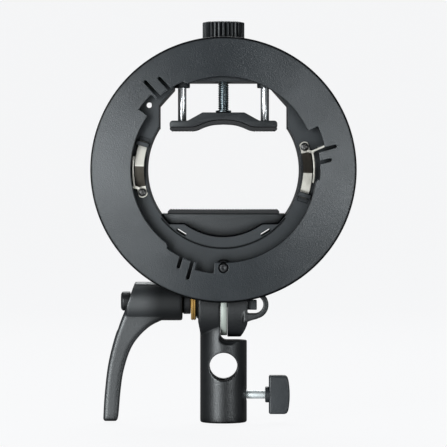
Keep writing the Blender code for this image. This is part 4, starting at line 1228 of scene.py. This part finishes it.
# ------------------------------------------------------------------ clamp knob
FLUTES, FLUTE_STEPS, FLUTE_DEPTH, KNOB_R = 28, 10, 1.15, 12.35
outline = []
for i in range(FLUTES * FLUTE_STEPS):
    angle = 2 * math.pi * i / (FLUTES * FLUTE_STEPS)
    wave = 0.5 + 0.5 * math.cos(angle * FLUTES)
    radius = KNOB_R - FLUTE_DEPTH * (1 - wave) ** 2.6
    outline.append((radius * math.cos(angle), radius * math.sin(angle)))
knob = plate("knob_grip", [outline], 181.4, 191.0, "XY", round_by=0.6, resolution=3)
crown = turned("knob_crown", [
    (0, 191.1), (7.6, 191.1), (8.2, 191.4), (10.0, 191.4), (10.7, 191.1),
    (11.0, 190.5), (11.0, 188.5), (0, 188.5),
], steps=96)
foot = turned("knob_foot", [
    (0, 185), (10.1, 185), (10.1, 180.6), (9.7, 180.1), (9.0, 179.9),
    (5.65, 179.9), (5.65, 177.0), (5.3, 176.7), (0, 176.7),
], steps=96)
join(knob, crown, foot)
cut(knob, pin("knob_bore", 3.35, 170, 184.0, steps=40))
piece(smooth(knob, 35), "clamp_knob")

# ------------------------------------------------------------------ stand lock
lock_pad = pin("pad", 2.3, 8.4, 11.3, LOCK, "x", 40, round_by=0.3)
piece(smooth(lock_pad), "stand_lock_pad")
lock_screw = thread(
    "lock_thread", LOCK, "x", 11.5, 14.2, radius=2.5, depth=0.32, pitch=0.8, around=28
)
gather(lock_screw, pin("lock_shank", 2.42, 13.9, 32.0, LOCK, "x", round_by=0.2))
piece(smooth(lock_screw, 60), "stand_lock_screw", "bright_rod")

# Wing outline: a straight inner side, then a bowed outer side, as (x, z) from the lock's axis
HALF = 11.35
wing_inner = [(27.4, -HALF), (26.8, 0.7 - HALF), (26.8, HALF - 0.7), (27.4, HALF)]
bow = [(36.0, -HALF), (37.3, 0.55 - HALF), (38.1, 1.9 - HALF), (38.6, 4.2 - HALF), (39.0, -3.2)]
wing_outer = [(x, -z) for x, z in bow] + [(39.1, 0.0)] + bow[::-1]
wing_inner = [(x, z + LOCK_Z) for x, z in wing_inner]
wing_outer = spline_through([(x, z + LOCK_Z) for x, z in wing_outer], 4)
paddle = plate("paddle", [wing_inner + wing_outer], -4.5, 4.5, round_by=1.3, resolution=4)
lock_collar = [(0, 29.0), (4.2, 29.0), (4.7, 26.6), (4.7, 25.0), (4.2, 24.6), (0, 24.6)]
join(paddle, turned("lock_collar", lock_collar, LOCK, "x", 56))
cut(paddle, pin("lock_knob_bore", 2.7, 20.0, 32.4, LOCK, "x", 40))
piece(smooth(paddle, 35), "stand_lock_knob")


# ------------------------------------------------------------------ floor
def stage_material(name, colour, glow):
    material, graph, shader = new_material(name)
    cloud = graph.add("TexNoise", {"Scale": 3.0})
    tone = graph.blend({
        "Factor": cloud.outputs["Fac"],
        "A": (*[channel * 0.995 for channel in colour], 1),
        "B": (*colour, 1),
    })
    # seen as an evenly lit sheet, while it throws only a little light back at the object
    path = graph.add("LightPath", {}).outputs
    level = graph.span(path["Is Camera Ray"], low=glow * 0.12, high=glow)
    graph.feed(shader, {
        "Base Color": tone,
        "Roughness": 0.9,
        "Specular IOR Level": 0.1,
        "Emission Color": (0.985, 0.99, 1.0, 1),
        "Emission Strength": level,
    })
    # clear to shadow rays, so the low lights reach the object from beneath its top
    clear = graph.add("BsdfTransparent", {})
    mix = graph.add("MixShader", {
        "Fac": path["Is Shadow Ray"], 1: shader.outputs[0], 2: clear.outputs[0],
    })
    graph.feed(graph.first("OUTPUT_MATERIAL"), {"Surface": mix.outputs[0]})
    return material


# A flat sheet that curves up behind the object, as (y, height above the sheet)
FLOOR_Z, SWEEP_R, SWEEP_Y = -0.0452, 1.2, 1.3
sweep = [(-3.2, 0.0)]
for degrees in range(0, 91, 5):
    angle = math.radians(degrees)
    sweep.append((SWEEP_Y + SWEEP_R * math.sin(angle), SWEEP_R - SWEEP_R * math.cos(angle)))
sweep.append((2.5, 4.0))
verts = [(x, y, z + FLOOR_Z) for y, z in sweep for x in (-4.0, 4.0)]
faces = [(2 * i, 2 * i + 1, 2 * i + 3, 2 * i + 2) for i in range(len(sweep) - 1)]
mesh = bpy.data.meshes.new("floor")
mesh.from_pydata(verts, [], faces)
floor = new_object("floor", mesh)
shade_faces(mesh)
mesh.materials.append(stage_material("pale_floor", colour=(0.03, 0.03, 0.03), glow=0.915))


# ------------------------------------------------------------------ lights and world
def area(name, place, target, size, power):
    light = bpy.data.lights.new(name, "AREA")
    light.energy = power
    light.color = (0.965, 0.99, 1.0)
    light.shape = "RECTANGLE"
    light.size, light.size_y = size
    obj = new_object(name, light)
    obj.location = place
    obj.rotation_euler = (Vector(target) - Vector(place)).to_track_quat("-Z", "Y").to_euler()


area("soft_left", place=(-0.62, -0.95, -0.17), target=(0, 0, 0.04), size=(0.44, 1.5), power=33.0)
area("soft_right", place=(0.66, -0.95, -0.32), target=(0, 0, 0.03), size=(0.36, 1.2), power=13.0)
area("front_panel", place=(0.0, -2.0, 0.03), target=(0, 0, 0.06), size=(1.6, 0.42), power=1.4)
area("top", place=(0.0, 0.15, 1.2), target=(0, 0, 0.05), size=(0.9, 0.9), power=3.0)
area("back", place=(0.0, 1.1, 0.95), target=(0, 0, 0.08), size=(1.3, 0.5), power=10.0)

# The world is bright to the camera and nearly dark as a light
world = bpy.data.worlds.new("studio")
SCENE.world = world
world.use_nodes = True
sky = Graph(world.node_tree)
seen = sky.add("LightPath", {}).outputs["Is Camera Ray"]
sky.feed(sky.first("BACKGROUND"), {
    "Color": (1.0, 1.0, 1.0, 1), "Strength": sky.span(seen, low=0.03, high=0.90),
})

# ------------------------------------------------------------------ camera
DISTANCE, VIEW_HEIGHT = 1.75, 0.2597
SUBJECT_Y = -0.03  # plane at which the view has its height
CAMERA_Z, VIEW_Z = 0.100, 0.0727  # the lens shift lowers the view's centre to VIEW_Z
SENSOR = 36.0
camera = bpy.data.cameras.new("camera")
camera_obj = new_object("camera", camera)
camera_obj.location = (0.0, SUBJECT_Y - DISTANCE, CAMERA_Z)
camera_obj.rotation_euler = (math.radians(90), 0, 0)
camera.sensor_width = SENSOR
camera.lens = SENSOR * DISTANCE / VIEW_HEIGHT
camera.shift_y = (VIEW_Z - CAMERA_Z) / VIEW_HEIGHT
camera.clip_end = 50.0
SCENE.camera = camera_obj
SCENE.view_settings.view_transform = "Standard"
SCENE.view_settings.look = "None"
